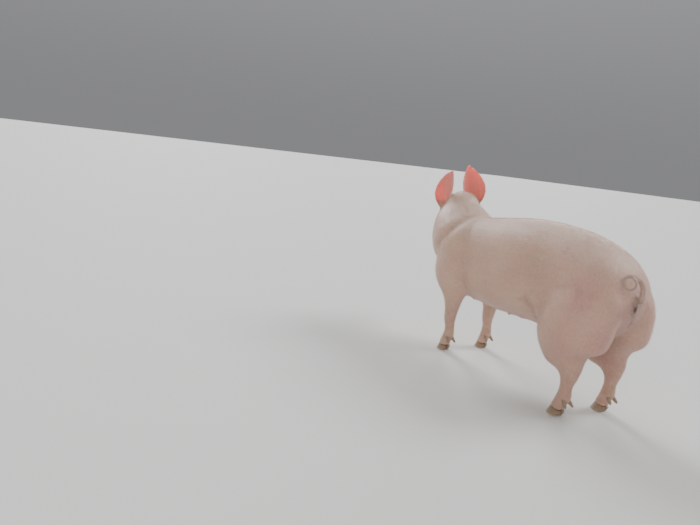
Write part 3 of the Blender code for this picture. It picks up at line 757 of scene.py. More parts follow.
def sculpt_ears(skin, part):
    """Veins on the back of each ear, and ridges in its bowl. Returns how much a point is ear, and bowl."""
    how_ear, how_bowl = np.zeros(len(skin.points)), np.zeros(len(skin.points))
    normals = skin.normals()
    for side in SIDES:
        place = ear_frame(side)
        local = in_frame(skin.points, place) / EAR_LENGTH
        turned = normals @ np.array(place)[:3, :3]
        u = local[:, 2]
        table = np.array(EAR_PROFILE)
        roll = np.radians(np.interp(u, table[:, 0], table[:, 2]))
        radius = np.interp(u, table[:, 0], table[:, 1]) / roll
        middle = radius + EAR_CUP / EAR_LENGTH * u * u
        spoke = np.stack([local[:, 0] - middle, local[:, 1]], axis=1)
        v = np.arctan2(spoke[:, 1], -spoke[:, 0]) / (roll / 2)
        within = skin.blurred((part == PLACES.index("ear_" + side)).astype(float), 4)
        inward = -(turned[:, :2] * unit(spoke)).sum(axis=1)
        bowl = within * fade(inward, -0.2, 0.4)
        how_ear = np.maximum(how_ear, within * fade(u, 0.0, 0.22))
        how_bowl = np.maximum(how_bowl, bowl * fade(u, 0.0, 0.10))
        amount = np.zeros(len(u))
        for start, lean, bend in EAR_VEINS:
            path = start * (0.55 + 0.6 * u) + lean * u * u + 0.10 * bend * np.sin(9 * u)
            aside = (v - path) * roll / 2 * radius * EAR_LENGTH
            amount += 0.00040 * hump(aside, 0.0011) * fade(0.9 - u, 0, 0.3)
        amount *= within * (1 - bowl) * fade(u, 0.05, 0.2)
        for start in (-0.42, 0.0, 0.42):
            ridge = hump(v - start * (1 - 0.5 * u), 0.11) * (1 - fade(u, 0.30, 0.62))
            amount += 0.0011 * bowl * ridge
        skin.push(amount)
    return how_ear, how_bowl


def sculpt_legs(skin):
    """Wrinkles above the claws, the bones of the knee and hock, and the tendons behind them."""
    points = skin.points
    amount = np.zeros(len(points))
    for leg in LEGS:
        foot = (centre_of(f"claw_{leg}_inner") + centre_of(f"claw_{leg}_outer")) / 2
        hind = leg.startswith("hind")
        x, y, z = (points - np.array((foot.x, foot.y, 0))).T
        by_leg = (abs(x) < 0.06) & (y > -0.09) & (y < 0.13) & (z < 0.24)
        rings = np.cos(2 * math.pi * (z + 0.25 * y) / 0.0068) * hump(z - 0.043, 0.013)
        bony = 0.0016 * hump(np.linalg.norm(np.stack([x, y - 0.020, z - 0.062]), axis=0), 0.016)
        tendon = 0.0012 * hump(abs(x) - 0.0105, 0.0035) * hump(z - 0.088, 0.022) * fade(y, 0.010, 0.022)
        above_claw = z - (0.0215 - 0.26 * y)
        coronet = 0.0006 * hump(above_claw - 0.007, 0.004) - 0.0020 * (1 - fade(above_claw, -0.002, 0.006))
        coronet -= 0.0035 * hump(x, 0.0032) * (1 - fade(above_claw, 0.004, 0.013))
        if hind:
            joint = np.linalg.norm(np.stack([x, y - 0.036, z - 0.142]) / [[1], [1], [1.5]], axis=0)
            amount += by_leg * (0.0040 * hump(joint, 0.012))
        else:
            joint = np.linalg.norm(np.stack([x, y + 0.010, z - 0.130]) / [[1.2], [1], [1.3]], axis=0)
            amount += by_leg * (0.0018 * hump(joint, 0.017) - 0.0005 * hump(z - 0.112, 0.003) * (y < 0.01))
        amount += by_leg * (0.00035 * rings + bony - tendon + coronet)
    skin.push(amount)


# ---------------------------------------------------------------- colours and the lie of the hair


def way_from_snout(skin):
    """The way over the skin from the snout's disc to each point: hair lies along its rise."""
    steps = np.linalg.norm(
        skin.points[skin.neighbours] - np.repeat(skin.points, skin.count[:, 0].astype(int), axis=0), axis=1
    )
    start = int(np.argmin(np.linalg.norm(skin.points - np.array(HEAD.translation), axis=1)))
    neighbours, steps, first = skin.neighbours.tolist(), steps.tolist(), skin.first.tolist()
    first.append(len(neighbours))
    ways = [math.inf] * len(skin.points)
    ways[start] = 0.0
    queue = [(0.0, start)]
    while queue:
        way, point = heapq.heappop(queue)
        if way > ways[point]:
            continue
        for k in range(first[point], first[point + 1]):
            other, longer = neighbours[k], way + steps[k]
            if longer < ways[other]:
                ways[other] = longer
                heapq.heappush(queue, (longer, other))
    return np.array(ways)


def slope_of(skin, values):
    """The direction over the skin in which the values rise fastest, at each point."""
    corners, heights = skin.points[skin.faces], values[skin.faces]
    one, two = corners[:, 1] - corners[:, 0], corners[:, 2] - corners[:, 0]
    across = np.cross(one, two)
    size = np.maximum((across**2).sum(axis=1, keepdims=True), 1e-18)
    rise_one, rise_two = (heights[:, k] - heights[:, 0] for k in (1, 2))
    slope = (np.cross(two, across) * rise_one[:, None] + np.cross(across, one) * rise_two[:, None]) / size
    slope *= np.sqrt(size)
    total = np.zeros_like(skin.points)
    for axis in range(3):
        for corner in range(3):
            total[:, axis] += np.bincount(skin.faces[:, corner], slope[:, axis], len(total))
    return unit(total)


def lie_of_hair(skin, normals, how_ear):
    """The way that the hair lies: back from the snout, down the flanks and legs, and out along the ears."""
    ways = skin.blurred(way_from_snout(skin), 40)
    lie = slope_of(skin, ways)
    flank = (1 - abs(normals[:, 2])) * fade(skin.points[:, 2], 0.20, 0.30) * (1 - how_ear)
    lie[:, 2] -= 0.55 * flank * fade(skin.points[:, 1], -0.40, -0.20)
    lie[:, 2] -= 1.6 * (1 - fade(skin.points[:, 2], 0.10, 0.24))
    lie = skin.blurred(unit(lie), 24)
    lie -= normals * (lie * normals).sum(axis=1, keepdims=True)
    return unit(lie)


def hollowness(skin, normals):
    """About 1 in the skin's folds and below 0 on its ridges."""
    return ((skin.blurred(skin.points, 5) - skin.points) * normals).sum(axis=1) / 0.0005


def mixed(colours, other, how):
    return colours + (np.array(other) - colours) * np.asarray(how).reshape(-1, 1)


def lid_nearness(points, side):
    """How far each point is from the slit of the lids, along their plane, in metres."""
    a, b, c = in_frame(points, eye_frame(side)).T
    away = np.hypot(a / LID_HALF_LENGTH, b / LID_HALF_HEIGHT)
    return np.where(abs(c) < 0.02, (away - 1) * LID_HALF_HEIGHT, 1.0)


def skin_colours(skin, normals, part, how_ear, how_bowl):
    """The colour of each point: the pig's pinks, red ears and faint marks; painted shade in the folds, on the
    belly, between the hams and partly on the legs; a painted sheen on the back.
    """
    points = skin.points
    x, y, z = points.T
    head = in_frame(points, HEAD)
    colours = tiled(SKIN_BASE, len(points))
    # Painted shade: darker where the low parts of the body face down.
    belly_shade = fade(-normals[:, 2], 0.1, 0.8) * fade(-z, -0.34, -0.20)
    colours = mixed(colours, BELLY_SHADE, 0.7 * belly_shade)
    rump = fade(y, 0.20, 0.36) * fade(-z, -0.50, -0.30)
    patches = fade(ripple(points, 0.11, seed=11), -0.5, 0.9)
    colours = mixed(colours, SKIN_ROSE, 0.75 * rump * (0.5 + 0.5 * patches))
    colours = mixed(colours, SKIN_ROSE, 0.34 * patches * (1 - rump))
    # Painted sheen: paler where the top of the back faces up.
    back = fade(normals[:, 2], 0.2, 0.9) * fade(z, 0.38, 0.46)
    colours = mixed(colours, PAINTED_SHEEN, 0.5 * back)
    # Browner low on the legs, darker towards the bottom: partly dirt, partly painted shade.
    low = 1 - fade(z, 0.05, 0.22)
    colours = mixed(colours, LEG_DIRT_AND_SHADE, low * (0.55 + 0.25 * ripple(points, 0.03, seed=12)))
    # Painted shade between the hams, low on the insides of the thighs.
    inner_thigh_shade = fade(-abs(x - MIDDLE), -0.075, -0.02) * (1 - fade(z, 0.19, 0.30)) * fade(y, 0.15, 0.25)
    colours = mixed(colours, THIGH_SHADE, 0.62 * inner_thigh_shade)
    face = 1 - fade(head[:, 1], 0.10, 0.24)
    colours = mixed(colours, SKIN_ROSE, 0.35 * face)
    disc = (1 - fade(head[:, 1], 0.010, 0.022)) * (np.linalg.norm(head, axis=1) < 0.05)
    colours = mixed(colours, SKIN_DISC, 0.85 * disc)
    lips = along_line(head, curve_through(MOUTH))[0]
    mirrored_lips = along_line(head * (-1, 1, 1), curve_through(MOUTH))[0]
    colours = mixed(colours, SKIN_DISC, 0.6 * hump(np.minimum(lips, mirrored_lips), 0.006))
    for side in SIDES:
        away = lid_nearness(points, side)
        colours = mixed(colours, SKIN_LID, 0.85 * (1 - fade(away, 0.0005, 0.0060)))
    colours = mixed(colours, SKIN_EAR, 0.75 * how_ear)
    colours = mixed(colours, SKIN_BOWL, 0.75 * how_bowl)
    tail = skin.blurred((part == PLACES.index("tail")).astype(float), 8)
    colours = mixed(colours, SKIN_TAIL, 0.65 * tail)
    anus = np.linalg.norm((points - np.array(ANUS)) * (1.0, 1.0, 0.7), axis=1)
    colours = mixed(colours, SKIN_TAIL, 0.7 * hump(anus, 0.026))
    colours = mixed(colours, SKIN_ANUS, hump(anus, 0.0105))
    # Painted shade: darker in the skin's folds and hollows, and a little lighter on its ridges.
    fold_shade = np.clip(hollowness(skin, normals), -0.7, 1.6)
    colours = mixed(colours, FOLD_SHADE, 0.22 * np.maximum(fold_shade, 0))
    colours = colours * (1 - 0.06 * np.minimum(fold_shade, 0))[:, None]
    mottle = 0.5 * ripple(points, 0.034, seed=13) + 0.5 * ripple(points, 0.012, seed=14)
    colours = colours * (1 + mottle[:, None] * (0.035, 0.06, 0.06))
    return np.clip(colours, 0.005, 1)


def add_values(mesh, name, kind, values):
    made = mesh.attributes.new(name, kind, "POINT")
    field = "color" if kind == "FLOAT_COLOR" else "vector" if kind == "FLOAT_VECTOR" else "value"
    if kind == "FLOAT_COLOR":
        values = np.column_stack([values, np.ones(len(values))])
    made.data.foreach_set(field, np.ascontiguousarray(values, np.float32).ravel())


# ---------------------------------------------------------------- eyes and horn


def eyeball(side):
    """The eyeball with its bulging cornea, drawn round the axis that it looks along."""
    lean = math.pi * (np.arange(EYE_RINGS + 1) / EYE_RINGS)[:, None] ** 1.25
    turn = 2 * math.pi * np.arange(EYE_SIDES)[None, :] / EYE_SIDES
    bulge = CORNEA_BULGE * np.maximum(1 - (lean / CORNEA) ** 2, 0) ** 1.5
    radius = EYE_RADIUS + bulge + 0 * turn
    wide = radius * np.sin(lean)
    points = np.stack([wide * np.cos(turn), wide * np.sin(turn), radius * np.cos(lean)], axis=-1)
    points = points.reshape(-1, 3)
    a, b = points[:, 0], points[:, 1]
    across = np.hypot(a, b)
    spokes = np.sin(31 * np.arctan2(b, a) + 2.5 * np.sin(7 * np.arctan2(b, a)))
    colours = tiled(EYE_WHITE, len(points))
    colours = mixed(colours, EYE_PINK, fade(across, 0.0068, 0.0092))
    colours = mixed(colours, EYE_LIMBUS, 1 - fade(across, IRIS_RADIUS - 0.0002, IRIS_RADIUS + 0.0007))
    iris = 1 - fade(across, IRIS_RADIUS - 0.0016, IRIS_RADIUS - 0.0002)
    colours = mixed(colours, EYE_IRIS, iris)
    colours *= (1 + 0.08 * spokes * iris)[:, None]
    pupil = np.hypot(a / PUPIL_RADII[0], b / PUPIL_RADII[1])
    colours = mixed(colours, EYE_PUPIL, (1 - fade(pupil, 0.88, 1.10)) * (points[:, 2] > 0))
    work = bmesh.new()
    work.from_mesh(new_mesh("ball", points, woven(EYE_RINGS + 1, EYE_SIDES)[:, ::-1]))
    bmesh.ops.recalc_face_normals(work, faces=work.faces)
    mesh = from_bmesh(work, "eye")
    mesh.transform(eye_frame(side))
    mesh.shade_smooth()
    add_values(mesh, "tone", "FLOAT_COLOR", colours)
    made = new_object("eyeball_" + side, mesh)
    made.data.materials.append(eye_material())
    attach(made, "root")
    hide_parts("eye_" + side)


def claw(name):
    """A claw of horn, rounded from its solid, ringed by its growth, with its top inside the skin."""
    form = Surface(applied(grown_node(name, 0.0002), "REMESH", mode="VOXEL", voxel_size=CLAW_VOXEL))
    form.smooth(14, 0.5, give_back=0.75)
    low, high = (np.array(corner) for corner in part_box(name))
    y, z = form.points.T[1:]
    rise = fade(z, 0.009, 0.018)
    middle = (low + high) / 2
    form.points[:, 2] += 0.0036 * rise
    form.points[:, :2] += (middle[:2] - form.points[:, :2]) * 0.05 * fade(z, 0.013, 0.024)[:, None]
    wall = 1 - abs(form.normals()[:, 2])
    toe_way = (y - low[1]) / (high[1] - low[1])
    level = z - 0.10 * (y - low[1])
    rings = np.sin(2 * math.pi * level / CLAW_RING_STEP + 0.6 * np.sin(300 * y)) * fade(z, 0.003, 0.006)
    form.push(wall * 0.00022 * rings + 0.0005 * wall * hump(z - 0.007, 0.004) * fade(toe_way, 0.65, 0.9))
    colours = tiled(HORN, len(form.points))
    colours = mixed(colours, HORN_PALE, 0.7 * (1 - fade(z, 0.001, 0.012)))
    colours = mixed(colours, HORN_DARK, 0.35 * fade(z, 0.016, 0.024) + 0.18 * np.clip(rings, 0, 1))
    colours *= (1 + 0.10 * ripple(form.points, 0.006, seed=21))[:, None]
    finish_horn(name, form, colours)


def dewclaw(name):
    """A dewclaw: a short cone of horn, from inside the leg to the tip of its solid."""
    low, high = (Vector(corner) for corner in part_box(name))
    sign = 1 if (low.x + high.x) / 2 > middle_of_leg(name) else -1
    points_out = Vector((sign * 0.22, 0.50, -0.84)).normalized()
    tip = Vector((high.x - 0.0022 if sign > 0 else low.x + 0.0022, high.y - 0.0020, low.z + 0.0012))
    base = tip - points_out * DEWCLAW_REACH - Vector((sign * 0.0020, 0.0060, 0.0))
    points_out = (tip - base).normalized()
    side_way = points_out.cross(Vector((1, 0, 0))).normalized()
    other_way = points_out.cross(side_way)
    steps = np.linspace(0, 1, DEWCLAW_RINGS)[:, None]
    turn = 2 * math.pi * np.arange(DEWCLAW_SIDES)[None, :] / DEWCLAW_SIDES
    rounding = np.sqrt(np.maximum(1 - np.maximum((steps - 0.62) / 0.38, 0) ** 2.2, 0))
    radius = (0.0070 - 0.0030 * steps) * rounding
    radius = radius + 0.00008 * np.sin(2 * math.pi * steps * 8) * (steps < 0.9)
    points = (
        np.array(base)
        + np.array(tip - base) * steps[..., None]
        + np.array(side_way) * (radius * np.cos(turn) * 0.86)[..., None]
        + np.array(other_way) * (radius * np.sin(turn))[..., None]
    )
    work = bmesh.new()
    work.from_mesh(new_mesh("dewclaw", points.reshape(-1, 3), woven(DEWCLAW_RINGS, DEWCLAW_SIDES)))
    bmesh.ops.holes_fill(work, edges=work.edges, sides=0)
    bmesh.ops.remove_doubles(work, verts=work.verts, dist=1e-5)
    bmesh.ops.triangulate(work, faces=work.faces)
    bmesh.ops.recalc_face_normals(work, faces=work.faces)
    form = Surface(from_bmesh(work, "dewclaw"))
    colours = tiled(HORN, len(form.points))
    colours *= (1 + 0.12 * ripple(form.points, 0.005, seed=22))[:, None]
    finish_horn(name, form, colours)


def middle_of_leg(name):
    """The middle of a dewclaw's leg, from side to side."""
    leg = name.replace("dewclaw_", "").rsplit("_", 1)[0]
    return (centre_of(f"claw_{leg}_inner").x + centre_of(f"claw_{leg}_outer").x) / 2


def lashes(side):
    """The pale lashes of the upper lid, and fewer below, as curved blades."""
    count = LASHES
    along = rng.uniform(-0.95, 0.95, count) * LID_HALF_LENGTH
    above = rng.uniform(0, 1, count) < LASHES_ABOVE
    bow = 1 - (along / LID_HALF_LENGTH) ** 2
    upper, lower = LID_HALF_HEIGHT * bow**0.75 + 0.0006, -0.78 * LID_HALF_HEIGHT * bow**0.85 - 0.0006
    across = np.where(above, upper, lower)
    out = np.sqrt(EYE_RADIUS**2 - along**2 - across**2) + LID_THICKNESS * 0.7
    root = np.column_stack([along, across, out])
    sign = np.where(above, 1.0, -1.0)
    way = np.column_stack([along * 45 + rng.normal(0, 0.10, count), 0.45 * sign, 0.9 + 0 * along])
    way = unit(way + rng.normal(0, 0.08, (count, 3)))
    long = np.where(above, UPPER_LASH, LOWER_LASH) * rng.uniform(0.7, 1.15, count)
    curl = np.column_stack([0 * along, sign * 0.55, 0 * along])
    middle = root + way * (0.5 * long)[:, None]
    tip = middle + unit(way + curl) * (0.5 * long)[:, None]
    wide = np.array((1.0, 0.0, 0.0)) * LASH_HALF_WIDTH
    blades = out_of_frame(blade_points(root, middle, tip, wide), eye_frame(side))
    left, bottom, right, top = CHARTS["head"]
    spot = np.array(((left + right) / 2 + SIDES[side] * 0.03, (bottom + top) / 2))
    finish_blades("lashes_" + side, blades, tiled(BRISTLE_COLOUR, count), spot + BLADE_PATCH, coat_material())


def blade_points(base, middle, tip, wide):
    """The corners of thin blades: a quad from the base to the middle, then a tip."""
    return np.stack([base - wide, base + wide, middle + wide * 0.8, middle - wide * 0.8, tip], axis=1)


def finish_blades(name, blades, tones, maps, material):
    """Blades as one piece of the coat, each with its tone and its patch on the OFBake map."""
    count = len(blades)
    start = np.arange(count)[:, None, None] * len(BLADE_PATCH)
    triangles = (start + np.array(BLADE_FACES)).reshape(-1, 3)
    mesh = new_mesh(name, blades.reshape(-1, 3), triangles)
    add_values(mesh, "tone", "FLOAT_COLOR", np.repeat(tones, len(BLADE_PATCH), axis=0))
    maps = np.broadcast_to(maps, (count, *BLADE_PATCH.shape)).reshape(-1, 2)
    layer = mesh.uv_layers.new(name="OFBake")
    corner = read(mesh.loops, "vertex_index", 1, np.int32)[:, 0]
    layer.data.foreach_set("uv", maps[corner].astype(np.float32).ravel())
    made = new_object(name, mesh)
    made.data.materials.append(material)
    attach(made, "root")
    return mesh


def finish_horn(name, form, colours):
    mesh = form.mesh(name)
    add_values(mesh, "tone", "FLOAT_COLOR", colours)
    made = new_object("horn_" + name, mesh)
    made.data.materials.append(horn_material())
    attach(made, "root")
    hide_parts(name)


# ---------------------------------------------------------------- bristles


def chart_places(points, part, how_bowl):
    """Where each root lies on an unwrap of the skin: each part rolled out round its own axis."""
    places = np.zeros((len(points), 2))
    head = in_frame(points, HEAD)
    for index, name in enumerate(PLACES):
        chosen = part == index
        p, h = points[chosen], head[chosen]
        if name in ("trunk", "neck"):
            around, along = np.arctan2(p[:, 0] - MIDDLE, p[:, 2] - 0.32), (p[:, 1] + 0.48) / 0.96
        elif name in ("head", "snout"):
            around, along = np.arctan2(h[:, 0], h[:, 2]), (h[:, 1] + 0.03) / 0.34
        elif name.startswith("ear"):
            local = in_frame(p, ear_frame(name[4:]))
            face = np.where(how_bowl[chosen] > 0.5, 1, -1)
            around = face * math.pi * (0.5 + 0.45 * np.clip(local[:, 1] / 0.07, -1, 1))
            along = (local[:, 2] + 0.02) / 0.18
        elif name == "tail":
            middle = np.array(centre_of("tail"))
            around = np.arctan2(p[:, 2] - middle[2], p[:, 0] - middle[0])
            along = np.hypot(p[:, 2] - middle[2], p[:, 0] - middle[0]) / 0.06
        else:
            low, high = (np.array(corner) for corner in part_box(name))
            middle = (low + high) / 2
            around, along = np.arctan2(p[:, 0] - middle[0], p[:, 1] - middle[1]), p[:, 2] / 0.40
        left, bottom, right, top = CHARTS[name]
        u = left + (right - left) * np.clip(around / (2 * math.pi) + 0.5, 0, 1)
        v = bottom + (top - bottom) * np.clip(along, 0, 1)
        places[chosen] = np.column_stack([u, v])
    return places


def scattered(skin, density, count):
    """Random places on the skin, denser where density is higher: faces and weights of their corners."""
    corners = skin.points[skin.faces]
    area = np.linalg.norm(np.cross(corners[:, 1] - corners[:, 0], corners[:, 2] - corners[:, 0]), axis=1)
    total = np.cumsum(area * density[skin.faces].mean(axis=1))
    picked = np.searchsorted(total, rng.uniform(0, total[-1], count))
    picked = np.sort(np.minimum(picked, len(total) - 1))
    one, two = rng.uniform(0, 1, (2, count))
    over = one + two > 1
    one[over], two[over] = 1 - one[over], 1 - two[over]
    return picked, np.column_stack([1 - one - two, one, two])


def bristles(skin, normals, lie, colours, part, how_ear, how_bowl):
    """All the bristles, as thin curved blades of a quad and a tip, in pieces the export can take."""
    points = skin.points
    head = in_frame(points, HEAD)
    bare = fade(head[:, 1], 0.016, 0.040) + (np.linalg.norm(head, axis=1) > 0.06)
    for side in SIDES:
        bare = np.minimum(bare, fade(lid_nearness(points, side), 0.0004, 0.0020))
    anus = np.linalg.norm(points - np.array(ANUS), axis=1)
    bare = np.minimum(bare, fade(anus, 0.008, 0.016)) * fade(points[:, 2], 0.022, 0.030)
    bare = np.clip(bare, 0, 1) * (1 - 0.9 * how_bowl)
    on_belly = fade(-normals[:, 2], 0.2, 0.8) * (points[:, 2] > 0.15)
    density = bare * (1 - 0.45 * on_belly) * (1 + 0.5 * fade(normals[:, 2], 0.5, 1.0))
    density *= 1 + 1.2 * (1 - fade(head[:, 1], 0.22, 0.30))
    length = BRISTLE_LENGTH + LONGER_ON_BACK * fade(normals[:, 2], 0.6, 1.0) * fade(points[:, 2], 0.40, 0.46)
    length -= SHORTER_ON_FACE * (1 - fade(head[:, 1], 0.10, 0.24)) * (np.linalg.norm(head, axis=1) < 0.35)
    length -= SHORTER_ON_FEET * (1 - fade(points[:, 2], 0.05, 0.20))
    length -= SHORTER_ON_EARS * how_ear
    picked, weights = scattered(skin, density, BRISTLES)
    corners = skin.faces[picked]

    def at_roots(values):
        if values.ndim == 1:
            return (values[corners] * weights).sum(axis=1)
        return (values[corners] * weights[..., None]).sum(axis=1)

    root, up, way = at_roots(points), unit(at_roots(normals)), unit(at_roots(lie))
    side_way = unit(np.cross(way, up))
    count = len(root)
    swing = rng.normal(0, 0.22, count)[:, None]
    way = unit(way * np.cos(swing) + side_way * np.sin(swing))
    side_way = unit(np.cross(way, up))
    long = at_roots(length) * rng.uniform(0.65, 1.25, count)
    rise = np.radians(rng.uniform(*BRISTLE_RISE, count))
    rise = np.where(rng.uniform(0, 1, count) < STRAY_SHARE, rise + STRAY_RISE, rise)
    thick = BRISTLE_WIDTH * rng.uniform(0.75, 1.2, count) * np.clip(long / 0.010, 0.6, 1.1)
    twist = rng.normal(0, 0.5, count)[:, None]
    flat_way = side_way * np.cos(twist) + up * np.sin(twist)
    out = np.sin(rise)[:, None] * up + np.cos(rise)[:, None] * way
    late = np.sin(rise * 0.35)[:, None] * up + np.cos(rise * 0.35)[:, None] * way
    base = root - up * 0.0004
    middle = base + out * (0.5 * long)[:, None]
    tip = middle + late * (0.5 * long)[:, None]
    wide = flat_way * (thick / 2)[:, None]
    blades = blade_points(base, middle, tip, wide)
    # Each bristle takes the skin's colour at its root, painted shade and sheen too, made paler.
    tones = mixed(at_roots(colours), BRISTLE_COLOUR, BRISTLE_PALENESS)
    tones = np.clip(tones * (1 + rng.normal(0, 0.06, (count, 1))), 0, 1)
    nearest = part[corners[:, 0]]
    patch = chart_places(root, nearest, at_roots(how_bowl))
    maps = np.clip(patch[:, None] + BLADE_PATCH, 0.001, 0.999)
    order = np.lexsort((root[:, 2], nearest))
    material = coat_material()
    for number, share in enumerate(np.array_split(order, COAT_PIECES)):
        name = f"bristles_{number}"
        finish_blades(name, blades[share], tones[share], maps[share], material).shade_smooth()


# ---------------------------------------------------------------- materials, stage


class Nodes:
    """A short way to build a material's nodes: each call adds a node and links what it is given."""

    def __init__(self, name):
        self.material = bpy.data.materials.new(name)
        self.material.use_nodes = True
        self.tree = self.material.node_tree
        self.shader = self.tree.nodes["Principled BSDF"]

    def add(self, kind, output=0, settings=None, **inputs):
        node = self.tree.nodes.new(kind)
        for name, value in (settings or {}).items():
            setattr(node, name, value)
        for name, value in inputs.items():
            self.put(node.inputs[int(name[1:]) if name[1:].isdigit() else name.replace("_", " ")], value)
        return node.outputs[output]

    def put(self, socket, value):
        if isinstance(value, bpy.types.NodeSocket):
            self.tree.links.new(value, socket)
        else:
            socket.default_value = value

    def set(self, **inputs):
        for name, value in inputs.items():
            self.put(self.shader.inputs[name.replace("_", " ")], value)

    def tone(self):
        return self.add("ShaderNodeAttribute", 0, {"attribute_name": "tone"})

    def scaled_tone(self, by):
        return self.add("ShaderNodeVectorMath", 0, {"operation": "SCALE"}, Vector=self.tone(), Scale=by)

    def value(self, name):
        return self.add("ShaderNodeAttribute", 2, {"attribute_name": name})

    def place(self, stretch=(1, 1, 1)):
        spot = self.add("ShaderNodeTexCoord", 3)
        return self.add("ShaderNodeMapping", 0, None, Vector=spot, Scale=stretch)

    def noise(self, scale, detail=3.0, stretch=(1, 1, 1), rough=0.55):
        return self.add("ShaderNodeTexNoise", 0, None, Vector=self.place(stretch), Scale=scale, Detail=detail,
                        Roughness=rough)

    def maths(self, operation, one, two):
        return self.add("ShaderNodeMath", 0, {"operation": operation}, _0=one, _1=two)

    def ranged(self, value, low, high, to_low, to_high):
        return self.add("ShaderNodeMapRange", 0, None, Value=value, From_Min=low, From_Max=high,
                        To_Min=to_low, To_Max=to_high)

    def bump(self, height, distance, strength=1.0, normal=None):
        made = self.add("ShaderNodeBump", 0, None, Height=height, Distance=distance, Strength=strength)
        if normal is not None:
            self.put(made.node.inputs["Normal"], normal)
        return made


def skin_material():
    m = Nodes("skin")
    colour = m.scaled_tone(m.ranged(m.noise(140.0, 4.0), 0.25, 0.75, 0.90, 1.08))
    along = m.noise(1500.0, 2.0, (1.0, 0.10, 1.0))
    down = m.noise(1500.0, 2.0, (1.0, 1.0, 0.10))
    limb = m.value("limb")
    on_body = m.maths("MULTIPLY", along, m.maths("SUBTRACT", 1.0, limb))
    streaks = m.maths("ADD", m.maths("MULTIPLY", down, limb), on_body)
    pores = m.noise(900.0, 3.0)
    wrinkles = m.noise(260.0, 4.0, (1.0, 1.0, 1.0), 0.62)
    ground = m.bump(wrinkles, 0.0010, 0.45)
    ground = m.bump(pores, 0.00035, 0.40, ground)
    m.set(
        Base_Color=colour,
        Roughness=m.ranged(pores, 0.3, 0.7, 0.44, 0.62),
        Normal=m.bump(streaks, 0.00045, 0.7, ground),
        Subsurface_Weight=m.ranged(m.value("ear"), 0.0, 1.0, 0.18, 0.85),
        Subsurface_Radius=(1.0, 0.13, 0.08),
        Subsurface_Scale=m.ranged(m.value("ear"), 0.0, 1.0, 0.006, 0.017),
        Sheen_Weight=0.22,
        Sheen_Roughness=0.45,
        Specular_IOR_Level=0.45,
    )
    return m.material


def coat_material():
    m = Nodes("bristle")
    m.set(Base_Color=m.tone(), Roughness=0.42, Specular_IOR_Level=0.5, Subsurface_Weight=0.0)
    return m.material


def eye_material():
    m = Nodes("eye")
    m.set(Base_Color=m.tone(), Roughness=0.16, Coat_Weight=1.0, Coat_Roughness=0.02, Specular_IOR_Level=0.6)
    return m.material


def horn_material():
    m = Nodes("horn")
    grain = m.noise(900.0, 3.0, (1.0, 1.0, 0.25))
    m.set(
        Base_Color=m.scaled_tone(m.ranged(grain, 0.3, 0.7, 0.86, 1.10)),
        Roughness=m.ranged(grain, 0.3, 0.7, 0.34, 0.55),
        Normal=m.bump(grain, 0.0003, 0.6),
        Subsurface_Weight=0.08,
        Subsurface_Scale=0.002,
    )
    return m.material


def plain_material(name, colour, roughness):
    m = Nodes(name)
    m.set(Base_Color=(*colour, 1), Roughness=roughness)
    return m.material


def add_light(name, place, target, width, strength, colour):
    """Soft light from the side of the place. It is a sun, so that the floor is evenly lit to its end."""
    lamp = bpy.data.lights.new(name, "SUN")
    way = Vector(target) - Vector(place)
    lamp.angle = 2 * math.atan(width / 2 / way.length)
    lamp.energy = strength
    lamp.color = colour
    made = new_object(name, lamp)
    made.location = place
    made.rotation_euler = way.to_track_quat("-Z", "Y").to_euler()


def add_stage():
    corners = [(x * FLOOR_REACH, y * FLOOR_REACH, 0) for x, y in ((-1, -1), (1, -1), (1, 1), (-1, 1))]
    floor = new_object("floor", new_mesh("floor", corners, [(0, 1, 2, 3)]))
    floor.data.materials.append(plain_material("floor", FLOOR_COLOUR, 0.85))
    world = bpy.data.worlds.new("studio")
    bpy.context.scene.world = world
    world.use_nodes = True
    tree = world.node_tree
    spot = tree.nodes.new("ShaderNodeTexCoord")
    parts = tree.nodes.new("ShaderNodeSeparateXYZ")
    rise = tree.nodes.new("ShaderNodeMapRange")
    for socket, value in zip(rise.inputs[1:5], SKY_RISE):
        socket.default_value = value
    rise.interpolation_type = "SMOOTHSTEP"
    tree.links.new(spot.outputs["Generated"], parts.inputs[0])
    tree.links.new(parts.outputs["Z"], rise.inputs["Value"])
    tree.links.new(rise.outputs[0], tree.nodes["Background"].inputs["Strength"])
    tree.nodes["Background"].inputs["Color"].default_value = (*SKY_COLOUR, 1)
    for light in LIGHTS:
        add_light(*light)


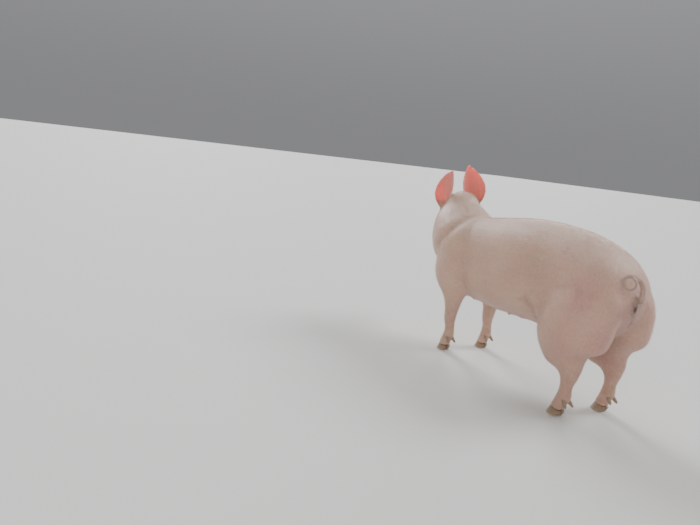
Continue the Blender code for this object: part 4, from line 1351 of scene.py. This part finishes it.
def add_camera():
    camera = bpy.data.cameras.new("camera")
    camera.sensor_width = SENSOR_WIDTH
    camera.lens = FOCAL_LENGTH
    camera.dof.use_dof = False
    made = new_object("camera", camera)
    level = math.cos(CAMERA_DROP)
    looks = Vector(
        (math.sin(CAMERA_HEADING) * level, -math.cos(CAMERA_HEADING) * level, -math.sin(CAMERA_DROP))
    )
    turn = looks.to_track_quat("-Z", "Y") @ Matrix.Rotation(CAMERA_ROLL, 3, "Z").to_quaternion()
    made.matrix_world = Matrix.Translation(CAMERA_PLACE) @ turn.to_matrix().to_4x4()
    bpy.context.scene.camera = made


# ---------------------------------------------------------------- the pig

skin = Surface(refine_face(skin_form()))
skin.smooth(SKIN_ROUNDS, 0.5, give_back=0.9)
part = nearest_node(skin.points, PLACES)
ears = np.isin(part, [PLACES.index("ear_left"), PLACES.index("ear_right")])
ears = skin.blurred(ears.astype(float), 3)
skin.smooth(EAR_ROUNDS, 0.5 * ears, give_back=0.92)
from_disc = np.linalg.norm(skin.points - np.array(HEAD.translation), axis=1)
depth = COAT_DEPTH * (0.25 + 0.75 * fade(skin.points[:, 2], 0.05, 0.20) * fade(from_disc, 0.10, 0.30))
skin.push((-NODE_OVERLAP - depth) * (1 - ears))
sculpt_body(skin)
sculpt_rump(skin)
sculpt_teats(skin)
sculpt_legs(skin)
sculpt_head(skin)
how_ear, how_bowl = sculpt_ears(skin, part)
sculpt_snout(skin)
for side in SIDES:
    lids(skin, side)
normals = skin.normals()
colours = skin_colours(skin, normals, part, how_ear, how_bowl)
limb = (1 - fade(skin.points[:, 2], 0.14, 0.26)) * fade(1 - abs(normals[:, 2]), 0.2, 0.6)
skin_mesh = skin.mesh("skin")
add_values(skin_mesh, "tone", "FLOAT_COLOR", colours)
add_values(skin_mesh, "ear", "FLOAT", how_ear)
add_values(skin_mesh, "limb", "FLOAT", limb)
skin_object = new_object("skin", skin_mesh)
skin_object.data.materials.append(skin_material())
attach(skin_object, "root")
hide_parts(*PLACES)
bristles(skin, normals, lie_of_hair(skin, normals, how_ear), colours, part, how_ear, how_bowl)
for side in SIDES:
    eyeball(side)
    lashes(side)
for leg in LEGS:
    for place in ("inner", "outer"):
        claw(f"claw_{leg}_{place}")
        dewclaw(f"dewclaw_{leg}_{place}")
add_stage()
add_camera()
